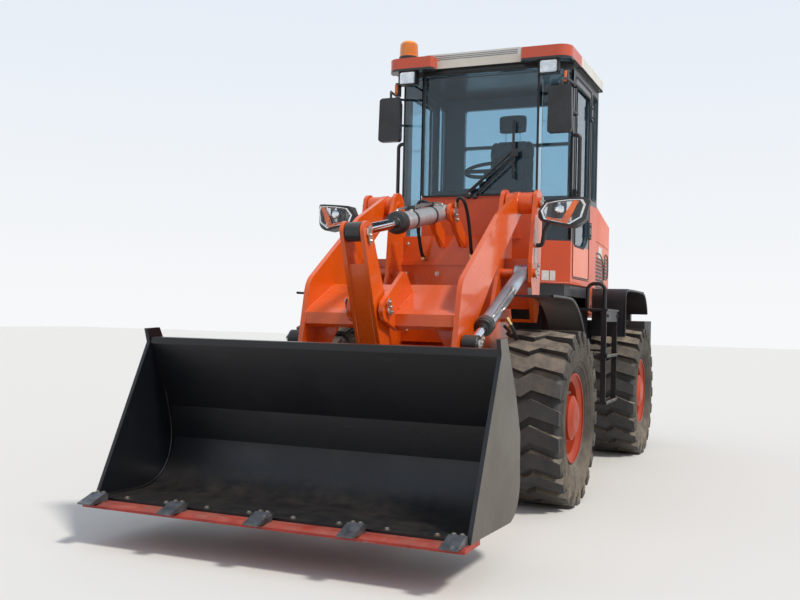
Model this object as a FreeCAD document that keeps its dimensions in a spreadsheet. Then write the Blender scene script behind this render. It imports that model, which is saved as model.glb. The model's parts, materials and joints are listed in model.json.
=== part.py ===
import FreeCAD, Part
import Sketcher
import math
import os
from FreeCAD import Placement, Rotation, Vector

# An articulated wheel loader of the two-tonne class, facing -Y, its left side at +X.
# The bucket, Z-bar linkage and arms sit on the front frame; the cab, engine and
# counterweight sit on the rear frame; both frames meet at an upright hinge.
# Millimetres, +Z up, ground at Z 0, origin under the middle of the whole machine.
# Places along Y are written from the front axle; fore() moves them to the origin.

os.makedirs("parts", exist_ok=True)
doc = FreeCAD.newDocument("wheel_loader")
sheet = doc.addObject("Spreadsheet::Sheet", "d")
aliases = []


def cell(alias, value):
    """Puts one number on the sheet and gives back its name in an expression."""
    aliases.append(alias)
    line = len(aliases)
    sheet.set(f"A{line}", alias)
    sheet.set(f"B{line}", str(value))
    sheet.setAlias(f"B{line}", alias)
    return f"d.{alias}"


# Driving sizes
# alias, value in millimetres (or a count, or degrees where the name says so)
SIZES = [
    ("front_axle_y", -748), ("wheelbase", 2550), ("half_track", 745), ("hinge_from_axle", 1275),
    ("tyre_radius", 530), ("tyre_width", 410), ("sidewall_height", 170), ("lug_height", 28),
    ("lug_count", 22), ("lug_root", 30), ("bead_drop", 22), ("bead_in", 18), ("bead_gap", 3),
    ("bead_rise", 28), ("wall_start", 2), ("wall_end", 10), ("wall_arc", 230), ("shoulder_drop", 27),
    ("shoulder_arc", 45), ("tread_inset", 40),
    ("rim_flange_radius", 272), ("rim_width", 340), ("rim_wall", 14), ("rim_well", 36),
    ("flange_lip", 10), ("flange_side", 16), ("rim_slope_out", 8), ("rim_slope_in", 30),
    ("disc_inset", 95), ("hub_radius", 135), ("hub_length", 90), ("hub_cap_radius", 84),
    ("hub_cap_length", 25), ("disc_wall", 16), ("wheel_gap", 0.5), ("fit_gap", 0.3),
    ("axle_tube_radius", 72), ("diff_radius", 165), ("diff_half_width", 120), ("flange_radius", 150),
    ("flange_wide", 60), ("axle_cone", 80), ("pinion_radius", 85), ("pinion_length", 330),
    ("axle_seat_z", 650), ("axle_seat_x", 330), ("axle_seat_wide", 120), ("axle_seat_long", 180),
    ("plate", 25), ("arm_plate", 30), ("pin_radius", 28), ("arm_pin_radius", 35), ("hinge_pin_radius", 30),
    ("steer_pin_radius", 20), ("pin_gap", 1), ("pin_end", 12), ("side_gap", 6), ("boss_radius", 62),
    ("arm_x", 470), ("tower_inner_x", 385), ("tower_outer_x", 601), ("lift_x", 537),
    ("arm_pivot_y", 220), ("arm_pivot_z", 1880), ("bucket_pin_y", -1250), ("bucket_pin_z", 290),
    ("tilt_base_y", 50), ("tilt_base_z", 1810), ("crank_pivot_y", -1030), ("crank_pivot_z", 1160),
    ("crank_top_y", -1220), ("crank_top_z", 1570), ("crank_foot_y", -842), ("crank_foot_z", 657),
    ("link_pin_y", -1348), ("link_pin_z", 432), ("link_radius", 30), ("link_eye_radius", 50),
    ("crank_x", 56), ("crank_plate", 22), ("crank_inset", 4), ("crank_end", 58), ("crank_waist", 90),
    ("tilt_barrel_radius", 56), ("tilt_rod_radius", 30), ("tilt_barrel_length", 760),
    ("tilt_rod_inner", 400), ("lift_base_y", 120), ("lift_base_z", 1420), ("lift_eye_y", -860),
    ("lift_eye_z", 985), ("lift_barrel_radius", 44), ("lift_rod_radius", 25), ("lift_barrel_length", 860),
    ("lift_rod_inner", 150), ("lift_eye_half", 42), ("ram_eye_radius", 52), ("rod_eye_radius", 48),
    ("gland_rise", 7), ("gland_long", 62), ("barrel_start", 12), ("barrel_cone", 66), ("barrel_floor", 80),
    ("barrel_neck", 27),
    ("steer_x", 220), ("steer_z", 725), ("steer_base_back", 300), ("steer_eye_front", 420),
    ("steer_barrel_radius", 32), ("steer_rod_radius", 18), ("steer_barrel_length", 400),
    ("steer_rod_inner", 220), ("steer_eye_radius", 34), ("steer_eye_high", 52), ("steer_lug", 14),
    ("steer_lug_wide", 80), ("steer_cone", 45),
    ("bucket_half_width", 965), ("bucket_side", 20), ("tooth_width", 75), ("tooth_count", 5),
    ("tooth_inset", 52), ("foot_boss_long", 90),
    ("frame_top", 980), ("frame_bottom", 480), ("frame_end", 300), ("rail_x", 285), ("rail_half", 15),
    ("rail_bottom", 650), ("rail_top", 900), ("tail_back", 630), ("rail_start", 340),
    ("hinge_top_z", 900), ("hinge_low_z", 530), ("hinge_lug", 30), ("hinge_fork", 25), ("hinge_gap", 5),
    ("hinge_pin_end", 10),
    ("cab_front_y", 800), ("cab_corner_y", 930), ("cab_rear_y", 1820), ("cab_front_half", 450),
    ("cab_half_width", 660), ("cab_base_z", 1300), ("cab_floor_z", 1385), ("cab_base_inset", 45),
    ("cab_belt_z", 2030), ("cab_top_z", 2960), ("cab_header", 40), ("cab_wall", 40), ("pillar", 55),
    ("glass", 6), ("door_front_y", 985), ("door_rear_y", 1560), ("door_bottom_z", 1425),
    ("door_top_z", 2900), ("door_wall", 36), ("door_sill", 235), ("door_stile", 60),
    ("roof_height", 80), ("roof_overhang", 30), ("roof_visor", 130), ("side_pane_z", 2080),
    ("side_pane_high", 800), ("rear_pane_z", 2130), ("rear_pane_high", 740),
    ("hood_front_y", 1850), ("hood_tail_back", 810), ("hood_shoulder_long", 300), ("hood_half_front", 600),
    ("hood_half_rear", 530), ("hood_bottom_z", 1150), ("hood_top_front", 2130), ("hood_top_rear", 1960),
    ("hood_wall", 20), ("hood_corner", 40), ("louvre_count", 7), ("louvre_pitch", 75),
    ("louvre_high", 30), ("louvre_low_z", 1290), ("louvre_half", 300),
    ("weight_long", 520), ("weight_half", 850), ("weight_corner", 170),
    ("weight_side", 120), ("weight_top", 1130), ("weight_bottom", 450), ("tow_pin_radius", 20),
    ("tow_pin_back", 75), ("tow_jaw", 25), ("tow_low_z", 640), ("tow_gap", 80),
    ("fender_top_z", 1270), ("fender_outer_x", 850), ("fender_plate", 10), ("rear_fender_x", 880),
    ("rear_fender_z", 1390), ("guard_gap", 8), ("step_in_x", 370.3), ("rail_tube", 14),
    ("mirror_tube", 9), ("wiper_tube", 6), ("cover_y", 295), ("tower_head", 92), ("outer_head", 84),
    ("fork_nose", 108), ("hinge_nose", 90), ("arm_foot", 72), ("arm_head", 75), ("arm_boss", 70),
    ("cradle_high", 60), ("header_inset", 20), ("rear_pane_half", 457), ("rear_bar_z", 2540),
    ("rear_bar", 24), ("corner_pane_z", 1700), ("beacon_x", -562), ("mid_web_back", 560), ("rack_y", 840),
    ("rack_pitch", 45), ("rack_rise", 40), ("rack_slats", 8), ("cap_in", 330), ("cap_corner", 90),
    ("door_pin", 10), ("hood_pin", 6),
]
# alias, formula: places over and behind the rear axle, which follow the wheelbase
PLACES = [
    ("rail_end_y", "=wheelbase + tail_back"), ("weight_front_y", "=wheelbase + tail_back"),
    ("weight_rear_y", "=weight_front_y + weight_long"), ("hood_rear_y", "=wheelbase + hood_tail_back"),
    ("hood_shoulder_y", "=hood_rear_y - hood_shoulder_long"),
]
for alias, value in SIZES + PLACES:
    cell(alias, value)
sheet.recompute()


def number(text):
    """The value of an expression on the sheet."""
    value = sheet.evalExpression(text)
    return float(getattr(value, "Value", value))


def named(owner, **values):
    """Expressions for a piece's sizes: each bare number gets a cell called owner_size."""
    return {key: v if isinstance(v, str) else cell(f"{owner}_{key}", v) for key, v in values.items()}


def fore(back):
    """A place along Y, given from the front axle."""
    return f"d.front_axle_y + {back}"


def put(thing, x, y, z):
    """Binds where a thing stands; y is from the front axle."""
    for prop, text in (("x", x), ("y", fore(y)), ("z", z)):
        thing.setExpression(f".Placement.Base.{prop}", text)
    return thing


PLANES = {"YZ": ("YZ_Plane", 0), "XZ": ("XZ_Plane", None), "XY": ("XY_Plane", 1)}


def outline_cells(name, rows, along):
    """Rows of (first, second[, arc radius]) as expressions; numbers get cells named name_row_column."""
    out = []
    for n, row in enumerate(rows):
        texts = [v if isinstance(v, str) else cell(f"{name}_{n}_{part}", v)
                 for v, part in zip(row, ("first", "second", "arc"))]
        if along is not None:
            texts[along] = fore(texts[along])
        out.append(texts)
    sheet.recompute()
    return out


def sketch_on(body, name, plane, rows, start="0", along=None):
    """A closed sketch whose corners, and arc radii where a row has a third entry, are bound to the sheet.

    A positive arc bulges to the right of the way from its row to the next, a negative one to the left.
    """
    outline = outline_cells(name, rows, along)
    sketch = body.newObject("Sketcher::SketchObject", name + "_outline")
    flat = next(o for o in body.Origin.OriginFeatures if o.Role == PLANES[plane][0])
    sketch.AttachmentSupport = [(flat, "")]
    sketch.MapMode = "FlatFace"
    sketch.setExpression(".AttachmentOffset.Base.z", start)
    corners = [Vector(number(c[0]), number(c[1]), 0) for c in outline]
    radii = [number(c[2]) if len(c) == 3 else 0 for c in outline]
    for n, radius in enumerate(radii):
        a, b = corners[n], corners[(n + 1) % len(corners)]
        if radius:
            along_chord = b - a
            side = Vector(-along_chord.y, along_chord.x, 0).normalize()
            rise = math.sqrt(radius * radius - along_chord.Length ** 2 / 4)
            centre = (a + b) * 0.5 + side * math.copysign(rise, radius)
            sketch.addGeometry(Part.Arc(a, centre - side * radius, b), False)
        else:
            sketch.addGeometry(Part.LineSegment(a, b), False)
    for n, corner in enumerate(outline):
        following = (n + 1) % len(outline)
        first, last = (2, 1) if radii[n] < 0 else (1, 2)
        met = 2 if radii[following] < 0 else 1
        sketch.addConstraint(Sketcher.Constraint("Coincident", n, last, following, met))
        for kind, text in (("DistanceX", corner[0]), ("DistanceY", corner[1])):
            row = sketch.addConstraint(Sketcher.Constraint(kind, -1, 1, n, first, number(text)))
            sketch.setExpression(f"Constraints[{row}]", text)
        if radii[n]:
            row = sketch.addConstraint(Sketcher.Constraint("Radius", n, abs(radii[n])))
            sketch.setExpression(f"Constraints[{row}]", f"abs({corner[2]})")
    sketch.Visibility = False
    return sketch


def padded(body, name, sketch, length):
    """A pad of the sketch in its body."""
    pad = body.newObject("PartDesign::Pad", name + "_pad")
    pad.Profile = sketch
    pad.setExpression("Length", length)
    return pad


def plate(name, plane, rows, start, thickness):
    """A profile padded by thickness along its plane's normal, X for YZ and Z for XY, or forwards for XZ.

    start is the near face along that normal; for XZ it is the rear face, from the front axle.
    """
    spots = named(name, start=start, thickness=thickness)
    if plane == "XZ":
        spots["start"] = f"-({fore(spots['start'])})"
    sheet.recompute()
    body = doc.addObject("PartDesign::Body", name)
    sketch = sketch_on(body, name, plane, rows, spots["start"], PLANES[plane][1])
    padded(body, name, sketch, spots["thickness"])
    return body


def turned(name, rows, x="0", y="0", z="0", turn=None):
    """A profile (distance along, radius) revolved about local X, then placed and turned."""
    body = doc.addObject("PartDesign::Body", name)
    sketch = sketch_on(body, name, "XY", rows)
    spin = body.newObject("PartDesign::Revolution", name + "_spin")
    spin.Profile = sketch
    spin.ReferenceAxis = (sketch, ["H_Axis"])
    spin.Angle = 360.0
    if turn:
        body.Placement = Placement(Vector(), turn)
    return put(body, x, y, z)


TURN = {"X": Rotation(Vector(0, 1, 0), 90), "Y": Rotation(Vector(1, 0, 0), -90), "Z": Rotation()}


def cylinder(name, radius, length, x, y, z, axis="X"):
    """A round bar that starts at x, y, z and runs along axis."""
    spots = named(name, radius=radius, length=length, x=x, y=y, z=z)
    bar = doc.addObject("Part::Cylinder", name)
    bar.setExpression("Radius", spots["radius"])
    bar.setExpression("Height", spots["length"])
    bar.Placement = Placement(Vector(), TURN[axis])
    return put(bar, spots["x"], spots["y"], spots["z"])


def box(name, x, y, z, wide, deep, high):
    """A block whose low corner is x, y, z."""
    spots = named(name, x=x, y=y, z=z, wide=wide, deep=deep, high=high)
    block = doc.addObject("Part::Box", name)
    for prop, key in (("Length", "wide"), ("Width", "deep"), ("Height", "high")):
        block.setExpression(prop, spots[key])
    return put(block, spots["x"], spots["y"], spots["z"])


def boxes(rows):
    """Blocks from a table: name, x, y, z of the low corner, wide, deep, high."""
    return [box(*row) for row in rows]


def fuse(name, parts):
    joined = doc.addObject("Part::MultiFuse", name)
    joined.Shapes = parts
    joined.Refine = True
    return joined


def cut(name, base, tools):
    taken = doc.addObject("Part::Cut", name)
    taken.Base = base
    taken.Tool = tools[0] if len(tools) == 1 else fuse(name + "_tools", tools)
    taken.Refine = True
    return taken


def common(name, one, other):
    shared = doc.addObject("Part::Common", name)
    shared.Base, shared.Tool = one, other
    return shared


def group(name, parts):
    """Solids that share a node without touching."""
    held = doc.addObject("Part::Compound", name)
    held.Links = parts
    return held


def mirror(name, source):
    """The same piece on the other side of the machine."""
    other = doc.addObject("Part::Mirroring", name)
    other.Source = source
    other.Normal = Vector(1, 0, 0)
    return other


def both(name, source):
    """A piece and its mirror image as one group of solids."""
    return group(name, [source, mirror(name + "_right", source)])


NODES = []


def node(label, thing):
    thing.Label = label
    NODES.append((label, thing))
    return thing


# Wheels: an off-road tyre with zigzag lugs on a deep dished one-piece rim and its planetary hub cap
TYRE_HALF = "d.tyre_width / 2"
RIM_HALF = "d.rim_width / 2"
BEAD = "d.rim_flange_radius - d.bead_drop"
CARCASS = "d.tyre_radius - d.lug_height"
WELL = "d.rim_flange_radius - d.rim_well"
HALF_TYRE = [  # across, radius, arc on to the next row
    (f"{RIM_HALF} - d.bead_in", BEAD),
    (f"{RIM_HALF} - d.bead_in", "d.rim_flange_radius + d.bead_gap"),
    (f"{RIM_HALF} + d.wall_start", "d.rim_flange_radius + d.bead_rise", "d.wall_arc"),
    (f"{TYRE_HALF} - d.wall_end", f"{CARCASS} - d.shoulder_drop", "d.shoulder_arc"),
    (f"{TYRE_HALF} - d.tread_inset", CARCASS),
]
HALF_LUG = [  # across, along the tread; the other half is this one turned by half a turn
    (-201, -6), (-30, -72), (30, -28), (201, -72),
]
RIM = [  # across from the middle, radius
    ("d.disc_inset - d.disc_wall", "0"), ("d.disc_inset + d.hub_length", "0"),
    ("d.disc_inset + d.hub_length", "d.hub_cap_radius"),
    ("d.disc_inset + d.hub_length - d.hub_cap_length", "d.hub_radius"), ("d.disc_inset", "d.hub_radius"),
    ("d.disc_inset", f"{WELL} - d.rim_wall"), (f"{RIM_HALF} - d.rim_slope_in", f"{WELL} - d.rim_wall"),
    (f"{RIM_HALF} - d.rim_slope_out", "d.rim_flange_radius - d.flange_lip"),
    (RIM_HALF, "d.rim_flange_radius - d.flange_lip"), (RIM_HALF, "d.rim_flange_radius"),
    (f"{RIM_HALF} - d.flange_side", "d.rim_flange_radius"), (f"{RIM_HALF} - d.flange_side", f"{BEAD} - d.fit_gap"),
    (f"-{RIM_HALF} + d.flange_side", f"{BEAD} - d.fit_gap"), (f"-{RIM_HALF} + d.flange_side", "d.rim_flange_radius"),
    (f"-{RIM_HALF}", "d.rim_flange_radius"), (f"-{RIM_HALF}", "d.rim_flange_radius - d.flange_lip"),
    (f"-{RIM_HALF} + d.rim_slope_out", "d.rim_flange_radius - d.flange_lip"),
    (f"-{RIM_HALF} + d.rim_slope_in", f"{WELL} - d.rim_wall"),
    ("d.disc_inset - d.disc_wall", f"{WELL} - d.rim_wall"),
]


def whole(half):
    """A half section and its mirror image as one closed outline."""
    back = []
    for n in range(len(half) - 1, -1, -1):
        arc = half[n - 1][2:] if n else ()
        back.append((f"-({half[n][0]})", half[n][1]) + arc)
    return half + back


# One tyre and one rim are modelled at the origin and placed at the four corners
tyre = turned("tyre", whole(HALF_TYRE), "0", "-d.front_axle_y")
lug_sketch = sketch_on(tyre, "tyre_lug", "XY", HALF_LUG + [(-across, -along) for across, along in HALF_LUG],
                       f"{CARCASS} - d.lug_root")
lug = padded(tyre, "tyre_lug", lug_sketch, "d.lug_height + d.lug_root")
lugs = tyre.newObject("PartDesign::PolarPattern", "tyre_lugs")
lugs.Originals = [lug]
lugs.Axis = (doc.getObject("tyre_outline"), ["H_Axis"])
lugs.Angle = 360.0
lugs.setExpression("Occurrences", "d.lug_count")
tyre.Tip = lugs
rim = turned("rim", RIM, "0", "-d.front_axle_y")
for corner, side, axle_y in (("front_left", 1, "0"), ("front_right", -1, "0"),
                             ("rear_left", 1, "d.wheelbase"), ("rear_right", -1, "d.wheelbase")):
    for kind, source in (("tyre", tyre), ("rim", rim)):
        wheel = group(f"{kind}_{corner}", [source])
        wheel.Placement = Placement(Vector(), Rotation(Vector(0, 0, 1), 0 if side > 0 else 180))
        node(f"{kind}_{corner}", put(wheel, f"{side} * d.half_track", axle_y, "d.tyre_radius"))

# Axles: a banjo casing with tubes that end in planetary hub flanges beside each rim
AXLE_END = "d.half_track + d.disc_inset - d.disc_wall - d.wheel_gap"
HALF_AXLE = [  # across, radius
    (AXLE_END, "0"), (AXLE_END, "d.flange_radius"), (f"{AXLE_END} - d.flange_wide", "d.flange_radius"),
    (f"{AXLE_END} - 1.5 * d.flange_wide", "d.axle_tube_radius"),
    ("d.diff_half_width + d.axle_cone", "d.axle_tube_radius"), ("d.diff_half_width", "d.diff_radius"),
]


def axle(name, axle_y, nose):
    """One drive axle; nose is the way its pinion points along Y."""
    casing = turned(name + "_casing", whole(HALF_AXLE), "0", axle_y, "d.tyre_radius")
    pinion = cylinder(name + "_pinion", "d.pinion_radius", "d.pinion_length", "0",
                      axle_y if nose > 0 else f"{axle_y} - d.pinion_length", "d.tyre_radius", "Y")
    seat = box(name + "_seat", "d.axle_seat_x - d.axle_seat_wide / 2", f"{axle_y} - d.axle_seat_long / 2",
               "d.tyre_radius + d.axle_tube_radius / 2", "d.axle_seat_wide", "d.axle_seat_long",
               "d.axle_seat_z - d.tyre_radius - d.axle_tube_radius / 2 - d.fit_gap")
    return node(name, fuse(name, [casing, pinion, seat, mirror(name + "_seat_right", seat)]))


axle("front_axle", "0", 1)
axle("rear_axle", "d.wheelbase", -1)

# Front frame: two deep side plates that rise into the loader tower, joined by cross plates
TOWER_OUT = "d.tower_outer_x - d.plate / 2"
TOWER_IN = "d.tower_inner_x - d.plate / 2"
GAP_IN = "d.tower_inner_x + d.plate / 2"
GAP_WIDE = f"{TOWER_OUT} - ({GAP_IN})"
FRAME_END = "d.hinge_from_axle - d.frame_end"
ACROSS = f"2 * ({TOWER_IN})"
FROM_LEFT = f"-({TOWER_IN})"


def round_end(y, z, radius, *ways):
    """Two corners on a circle about y, z, joined by its arc; each way is (along Y, along Z) in fifths."""
    (a, b), (c, e) = ways
    return [(f"{y} + {a / 5} * {radius}", f"{z} + {b / 5} * {radius}", radius),
            (f"{y} + {c / 5} * {radius}", f"{z} + {e / 5} * {radius}")]


side_plate = plate("front_side_plate", "YZ", [  # back, up, arc
    (-300, "d.axle_seat_z"), (300, "d.axle_seat_z"), (480, "d.frame_bottom"), (FRAME_END, "d.frame_bottom"),
    (FRAME_END, "d.frame_top"), (520, 1000, -260), (345, 1260), (345, 1790),
    *round_end("d.arm_pivot_y", "d.arm_pivot_z", "d.tower_head", (4, 3), (-4, 3)),
    (100, 1820), (60, 1400), (-60, 1150, -420), (-300, 950),
], TOWER_IN, "d.plate")
outer_plate = plate("tower_outer_plate", "YZ", [
    (140, 1105), (215, 1105), (255, 1180), (300, 1820),
    *round_end("d.arm_pivot_y", "d.arm_pivot_z", "d.outer_head", (4, 3), (-4, 3)), (60, 1480), (60, 1360),
], TOWER_OUT, "d.plate")
half_frame = fuse("front_half", [side_plate, outer_plate] + boxes([
    # name, x, back, up, wide, deep, high
    ("tower_web", GAP_IN, 215, 1190, GAP_WIDE, 22, 330),
    ("tower_foot", GAP_IN, 140, 1105, GAP_WIDE, 75, 20),
]))
cross_plates = boxes([
    ("tower_cover", FROM_LEFT, "d.cover_y", "d.frame_top", ACROSS, "d.plate", 700),
    ("cover_flange", FROM_LEFT, "d.cover_y", 1660, ACROSS, 50, 20),
    ("cover_rib", FROM_LEFT, "d.cover_y - 14", 1480, ACROSS, 16, 28),
    ("frame_nose", FROM_LEFT, -300, "d.axle_seat_z", ACROSS, "d.plate", 300),
    ("frame_top_plate", FROM_LEFT, "d.cover_y", "d.frame_top - d.plate", ACROSS,
     f"{FRAME_END} - d.cover_y", "d.plate"),
    ("frame_belly", FROM_LEFT, 480, "d.frame_bottom", ACROSS, f"{FRAME_END} - 480", "d.hinge_fork"),
    ("frame_mid_web", FROM_LEFT, "d.hinge_from_axle - d.mid_web_back", "d.frame_bottom", ACROSS, "d.plate",
     "d.frame_top - d.frame_bottom"),
])
LUGS = {  # the lug plates of the front frame: name, underside
    "fork_top_upper": "d.hinge_top_z + d.hinge_lug + d.hinge_gap",
    "fork_top_lower": "d.hinge_top_z - d.hinge_gap - d.hinge_fork",
    "fork_low_upper": "d.hinge_low_z + d.hinge_lug + d.hinge_gap",
    "fork_low_lower": "d.hinge_low_z - d.hinge_gap - d.hinge_fork",
}
forks = [plate(name, "XY", [  # across, back, arc
    (FROM_LEFT, "d.hinge_from_axle - 400"), (TOWER_IN, "d.hinge_from_axle - 400"),
    (TOWER_IN, "d.hinge_from_axle - 310"), ("0.8 * d.fork_nose", "d.hinge_from_axle + 0.6 * d.fork_nose", "d.fork_nose"),
    ("-0.8 * d.fork_nose", "d.hinge_from_axle + 0.6 * d.fork_nose"), (FROM_LEFT, "d.hinge_from_axle - 310"),
], z, "d.hinge_fork") for name, z in LUGS.items()]
hinge_pins = [cylinder(f"hinge_pin_{n}", "d.hinge_pin_radius",
                       "2 * (d.hinge_fork + d.hinge_gap + d.hinge_pin_end) + d.hinge_lug", "0",
                       "d.hinge_from_axle", f"{z} - d.hinge_gap - d.hinge_fork - d.hinge_pin_end", "Z")
              for n, z in enumerate(("d.hinge_top_z", "d.hinge_low_z"))]
STEER_UPPER = "d.steer_z + d.steer_eye_high / 2 + d.side_gap"
STEER_LOWER = "d.steer_z - d.steer_eye_high / 2 - d.side_gap - d.steer_lug"
steer_ears = [box(f"steer_ear_{n}", f"{side} * d.steer_x - d.steer_lug_wide / 2",
                  "d.hinge_from_axle - d.mid_web_back + d.plate", low, "d.steer_lug_wide",
                  "d.mid_web_back - d.steer_eye_front - d.plate + d.steer_lug_wide / 2", "d.steer_lug")
              for n, (side, low) in enumerate(((1, STEER_UPPER), (1, STEER_LOWER), (-1, STEER_UPPER),
                                               (-1, STEER_LOWER)))]
ear = plate("tilt_ear", "YZ", [
    ("d.cover_y + 3", 1600), ("d.cover_y + 3", 1700), ("d.tilt_base_y", "d.tilt_base_z + d.boss_radius", "d.boss_radius"),
    ("d.tilt_base_y - d.boss_radius", "d.tilt_base_z", "d.boss_radius"),
    ("d.tilt_base_y", "d.tilt_base_z - d.boss_radius"), (120, 1690), (240, 1600),
], "d.crank_x + d.side_gap", "d.crank_plate")
EAR_OUT = "d.crank_x + d.side_gap + d.crank_plate + d.pin_end"
PIN_LOW = f"{TOWER_IN} - d.pin_end"
PIN_LONG = f"{TOWER_OUT} - ({TOWER_IN}) + d.plate + 2 * d.pin_end"
half_full = fuse("front_half_pins", [
    half_frame,
    cylinder("arm_pin", "d.arm_pin_radius", PIN_LONG, PIN_LOW, "d.arm_pivot_y", "d.arm_pivot_z"),
    cylinder("lift_pin", "d.pin_radius", PIN_LONG, PIN_LOW, "d.lift_base_y", "d.lift_base_z"),
])
node("front_frame", fuse("front_frame", [
    half_full, mirror("front_half_right", half_full), both("tilt_ears", ear),
    cylinder("tilt_base_pin", "d.pin_radius", f"2 * ({EAR_OUT})", f"-({EAR_OUT})", "d.tilt_base_y", "d.tilt_base_z"),
] + cross_plates + forks + hinge_pins + steer_ears))

# Front mudguards: rolled black sheet over and behind each front tyre
GUARD_X = "d.tower_outer_x + d.plate / 2 + d.fit_gap"
mudguard = plate("front_mudguard", "YZ", [
    (-330, "d.fender_top_z - d.fender_plate"), (100, "d.fender_top_z - d.fender_plate", -591), (560, 1040),
    (700, 800), (710, 805), (567.8, 1046.3, 601), (100, "d.fender_top_z"), (-330, "d.fender_top_z"),
], GUARD_X, f"d.fender_outer_x - ({GUARD_X})")
node("front_mudguards", both("front_mudguards", mudguard))


def tube_run(name, radius, rows, bend):
    """A round tube bent through a table of places (x, back, up); every bend has one inner radius."""
    places = []
    for n, row in enumerate(rows):
        texts = named(f"{name}_{n}", x=row[0], back=row[1], up=row[2])
        sheet.recompute()
        places.append(Vector(number(texts["x"]), number(fore(texts["back"])), number(texts["up"])))
    edges, start = [], places[0]
    for before, corner, after in zip(places, places[1:], places[2:]):
        into, out = (corner - before).normalize(), (after - corner).normalize()
        turn = into.getAngle(out)
        reach = number(bend) * math.tan(turn / 2)
        first, last = corner - into * reach, corner + out * reach
        centre_way = (out - into).normalize()
        middle = corner + centre_way * (number(bend) / math.cos(turn / 2) - number(bend))
        edges += [Part.LineSegment(start, first).toShape(), Part.Arc(first, middle, last).toShape()]
        start = last
    edges.append(Part.LineSegment(start, places[-1]).toShape())
    spine = Part.Wire(edges)
    ring = Part.Wire(Part.Circle(places[0], places[1] - places[0], number(radius)).toShape())
    tube = doc.addObject("Part::Feature", name)
    tube.Shape = spine.makePipeShell([ring], True, True)
    return tube


# Headlamps: tapered pods on bent tubes from the tower
pod_front = plate("headlamp_front", "XZ", [  # across, up, arc
    (668, 1745), (850, 1706, 150), (938, 1760), (956, 1876, 30), (930, 1896), (690, 1876), (642, 1812, 52),
], 240, 190)
pod_plan = plate("headlamp_plan", "XY", [
    (640, 92), (760, 62), (880, 78, 190), (958, 150), (958, 176), (870, 196), (700, 196), (640, 140),
], 1700, 200)
pod = common("headlamp_pod", pod_front, pod_plan)
stalk = tube_run("headlamp_stalk", "d.rail_tube", [
    (GUARD_X, 170, 1600), (650, 170, 1600), (668, 150, 1690), (740, 140, 1800)], "25")
node("headlamps", both("headlamps", fuse("headlamp", [pod, stalk])))

# Lift arms: two thick plates, a boxed cross member and the bell crank's brackets
arm = plate("arm_plate_side", "YZ", [
    ("d.bucket_pin_y - 0.8 * d.arm_foot", "d.bucket_pin_z + 0.6 * d.arm_foot"), (-1110, 520), (-1020, 760),
    (-957, 960), (-893, 1262, -150), (-838, 1352), (-230, 1760),
    ("d.arm_pivot_y - 0.6 * d.arm_head", "d.arm_pivot_z + 0.8 * d.arm_head", "-d.arm_head"),
    ("d.arm_pivot_y + 0.8 * d.arm_head", "d.arm_pivot_z - 0.6 * d.arm_head"),
    (-50, 1590), (-370, 1335), (-560, 1163, 380), (-700, 945), (-760, 800), (-870, 560), (-1040, 300),
    ("d.bucket_pin_y + 0.6 * d.arm_foot", "d.bucket_pin_z - 0.8 * d.arm_foot", "-d.arm_foot"),
], "d.arm_x - d.arm_plate / 2", "d.arm_plate")
one_arm = cut("one_arm", fuse("arm_with_bosses", [
    arm,
    cylinder("arm_hub", "d.arm_boss", f"{GAP_WIDE} - 2 * d.side_gap", f"{GAP_IN} + d.side_gap", "d.arm_pivot_y",
             "d.arm_pivot_z"),
    cylinder("arm_foot_boss", "d.boss_radius", "d.foot_boss_long", "d.arm_x - d.foot_boss_long / 2",
             "d.bucket_pin_y", "d.bucket_pin_z"),
]), [
    cylinder("arm_bore", "d.arm_pin_radius + d.pin_gap", GAP_WIDE, GAP_IN, "d.arm_pivot_y", "d.arm_pivot_z"),
    cylinder("arm_foot_bore", "d.pin_radius + d.pin_gap", "2 * d.foot_boss_long", "d.arm_x - d.foot_boss_long",
             "d.bucket_pin_y", "d.bucket_pin_z"),
])
ARM_IN = "d.arm_x - d.arm_plate / 2"
SLOT = "d.crank_x + d.crank_plate + d.side_gap"
cross_beam = plate("arm_cross_beam", "YZ", [
    (-560, 1315), (-880, 1165), (-922, 1140), (-925, 1075), (-860, 1055), (-600, 1075),
], f"-({ARM_IN})", f"2 * ({ARM_IN})")
slotted_beam = cut("slotted_beam", cross_beam, [
    box("beam_slot", f"-({SLOT})", -1000, 1000, f"2 * ({SLOT})", 230, 400)])
bracket = plate("crank_bracket", "YZ", [
    (-600, 1200), (-770, 1372), (-806, 1380), ("d.crank_pivot_y - 0.6 * 66", "d.crank_pivot_z + 0.8 * 66", 66),
    ("d.crank_pivot_y", "d.crank_pivot_z - 66"), (-880, 1045), (-640, 1062),
], SLOT, "d.plate")
CRANK_OUT = f"{SLOT} + d.plate + d.pin_end"
gusset = plate("beam_gusset", "XZ", [
    (ARM_IN, 1100), (ARM_IN, 780), (310, 1050), (310, 1100),
], -780, 20)
node("lift_arms", fuse("lift_arms", [
    one_arm, mirror("other_arm", one_arm), slotted_beam, both("crank_brackets", bracket),
    cylinder("crank_pin", "d.pin_radius", f"2 * ({CRANK_OUT})", f"-({CRANK_OUT})", "d.crank_pivot_y",
             "d.crank_pivot_z"),
    both("beam_gussets", gusset)]))

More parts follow.
